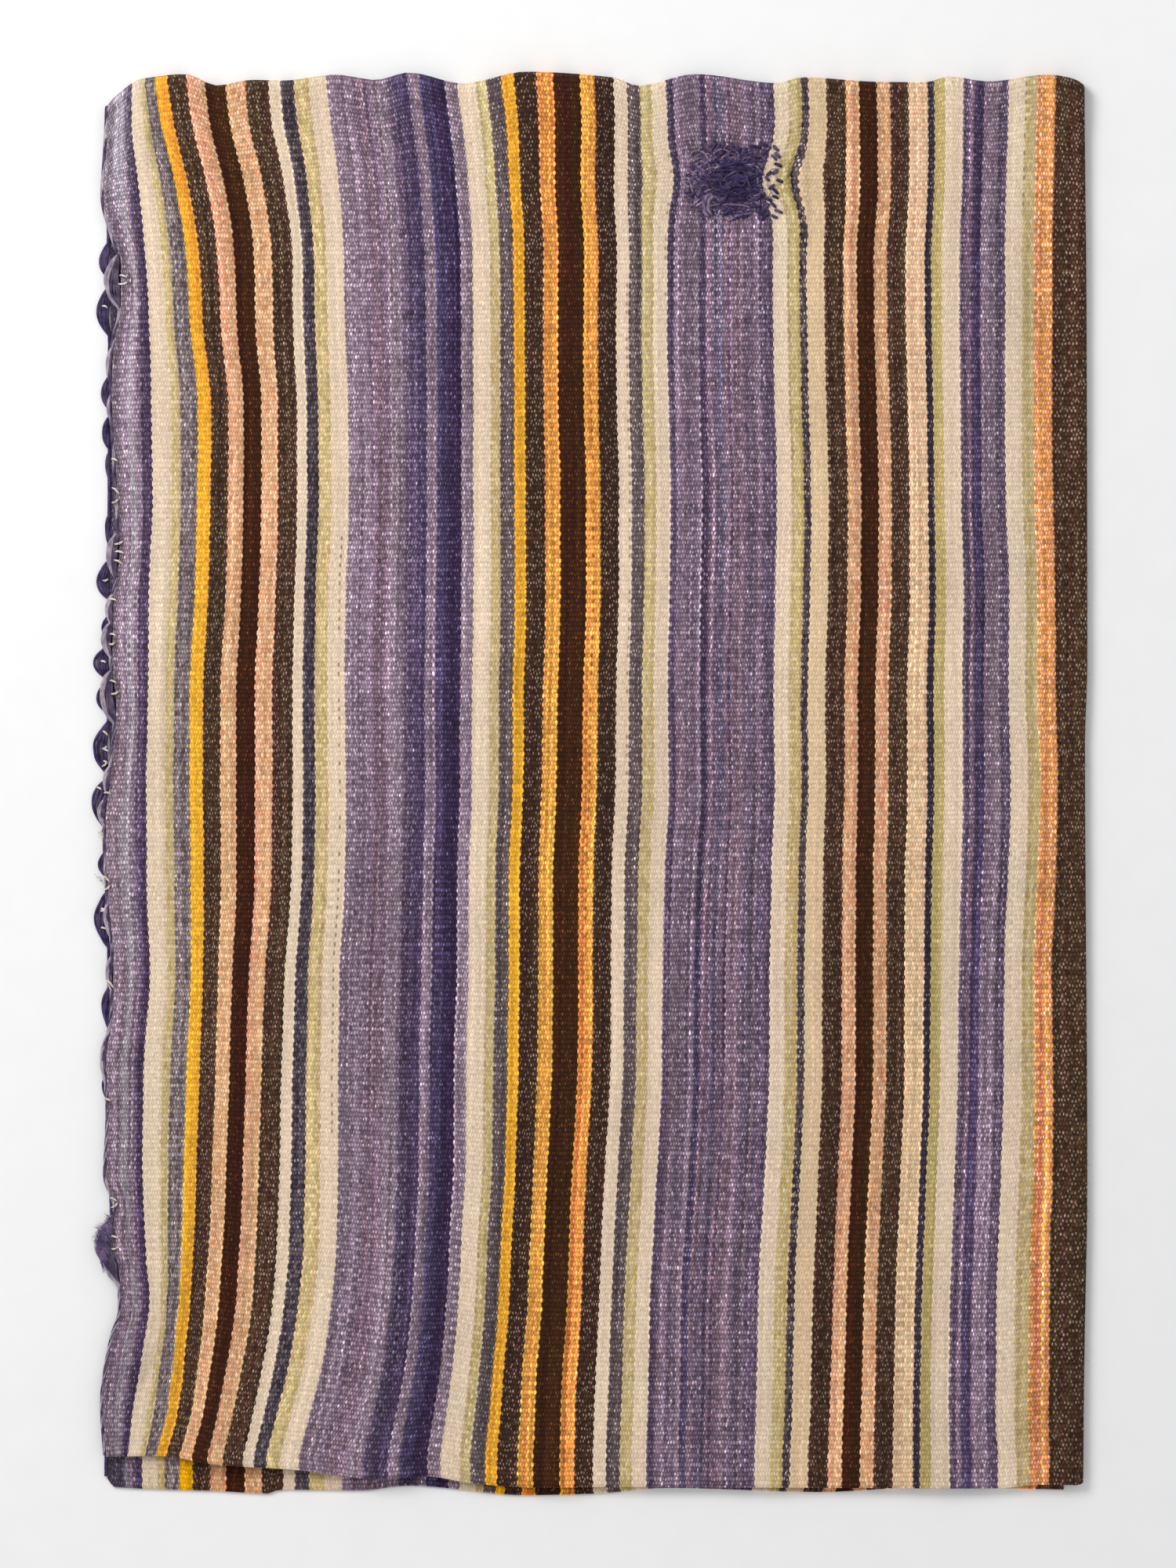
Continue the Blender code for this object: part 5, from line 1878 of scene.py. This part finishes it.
@dataclass(frozen=True)
class Studio:
    """A pale floor, soft light and a camera straight above, as the photograph was taken."""

    view_height: float = 1.113
    distance: float = 5.2
    sensor: float = 24.0
    floor_half: float = 4.0
    dome_strength: float = 0.62
    lamp_size: float = 1.6
    lamp_power: float = 60.0
    lamp_place: tuple[float, float, float] = (-1.7, 1.6, 2.1)

    def floor(self) -> None:
        """Builds the floor."""
        material, tree = blank_material("matt white board")
        # A matt painted board, so pale and even that only the soft shadows show on it
        where = add(tree, "TexCoord").outputs["Object"]
        grain = add(tree, "TexNoise", {"Vector": where, "Scale": 40.0, "Detail": 2.0})
        tone = add(tree, "MapRange", {"Value": grain, "To Min": 0.88, "To Max": 0.92})
        inputs = {"Base Color": tone, "Roughness": 0.95, "Specular IOR Level": 0.2}
        add(tree, "OutputMaterial", {"Surface": add(tree, "BsdfPrincipled", inputs)})
        mesh = bpy.data.meshes.new("floor")
        signs = ((-1, -1), (1, -1), (1, 1), (-1, 1))
        corners = [(right * self.floor_half, back * self.floor_half, 0) for right, back in signs]
        mesh.from_pydata(corners, [], [(0, 1, 2, 3)])
        mesh.materials.append(material)
        floor = bpy.data.objects.new("floor", mesh)
        bpy.context.scene.collection.objects.link(floor)

    def light(self) -> None:
        """Sets the soft light: an even dome and one large lamp up to the left."""
        scene = bpy.context.scene
        world = bpy.data.worlds.new("studio")
        world.use_nodes = True
        background = world.node_tree.nodes["Background"]
        background.inputs["Color"].default_value = (1.0, 1.0, 1.0, 1)
        background.inputs["Strength"].default_value = self.dome_strength
        scene.world = world
        lamp = bpy.data.lights.new("key", "AREA")
        lamp.shape = "DISK"
        lamp.size = self.lamp_size
        lamp.energy = self.lamp_power
        key = bpy.data.objects.new("key", lamp)
        key.location = self.lamp_place
        key.rotation_euler = (Vector((0, 0, 0)) - key.location).to_track_quat("-Z", "Y").to_euler()
        scene.collection.objects.link(key)
        scene.view_settings.view_transform = "Standard"

    def camera(self) -> None:
        """Sets the camera straight above the middle of the picture."""
        data = bpy.data.cameras.new("camera")
        data.sensor_fit = "VERTICAL"
        data.sensor_height = self.sensor
        data.lens = self.sensor * self.distance / self.view_height
        camera = bpy.data.objects.new("camera", data)
        camera.location = (0, 0, self.distance)
        bpy.context.scene.collection.objects.link(camera)
        bpy.context.scene.camera = camera


def main() -> None:
    """Builds the dressed blanket and its studio, one after another."""
    logging.basicConfig(level=logging.INFO, format="%(name)s: %(message)s")
    studio = Studio()
    studio.camera()
    studio.floor()
    studio.light()
    lay = ClothLay()
    cloth = FoldedCloth(lay)
    middle, places, from_hem = cloth.middle()
    blanket = cloth.build(middle, places, from_hem)
    cord = SelvedgeCord(lay).build(cloth, middle)
    darn = Darn(lay).build()
    turns = WeftTurns(lay).build(cloth, middle)
    tuft = Tuft(lay).build(middle[cloth.first_upper :, 0] / MM)
    hairs = StrayHairs(lay).build(cloth, middle)


if __name__ == "__main__":
    main()
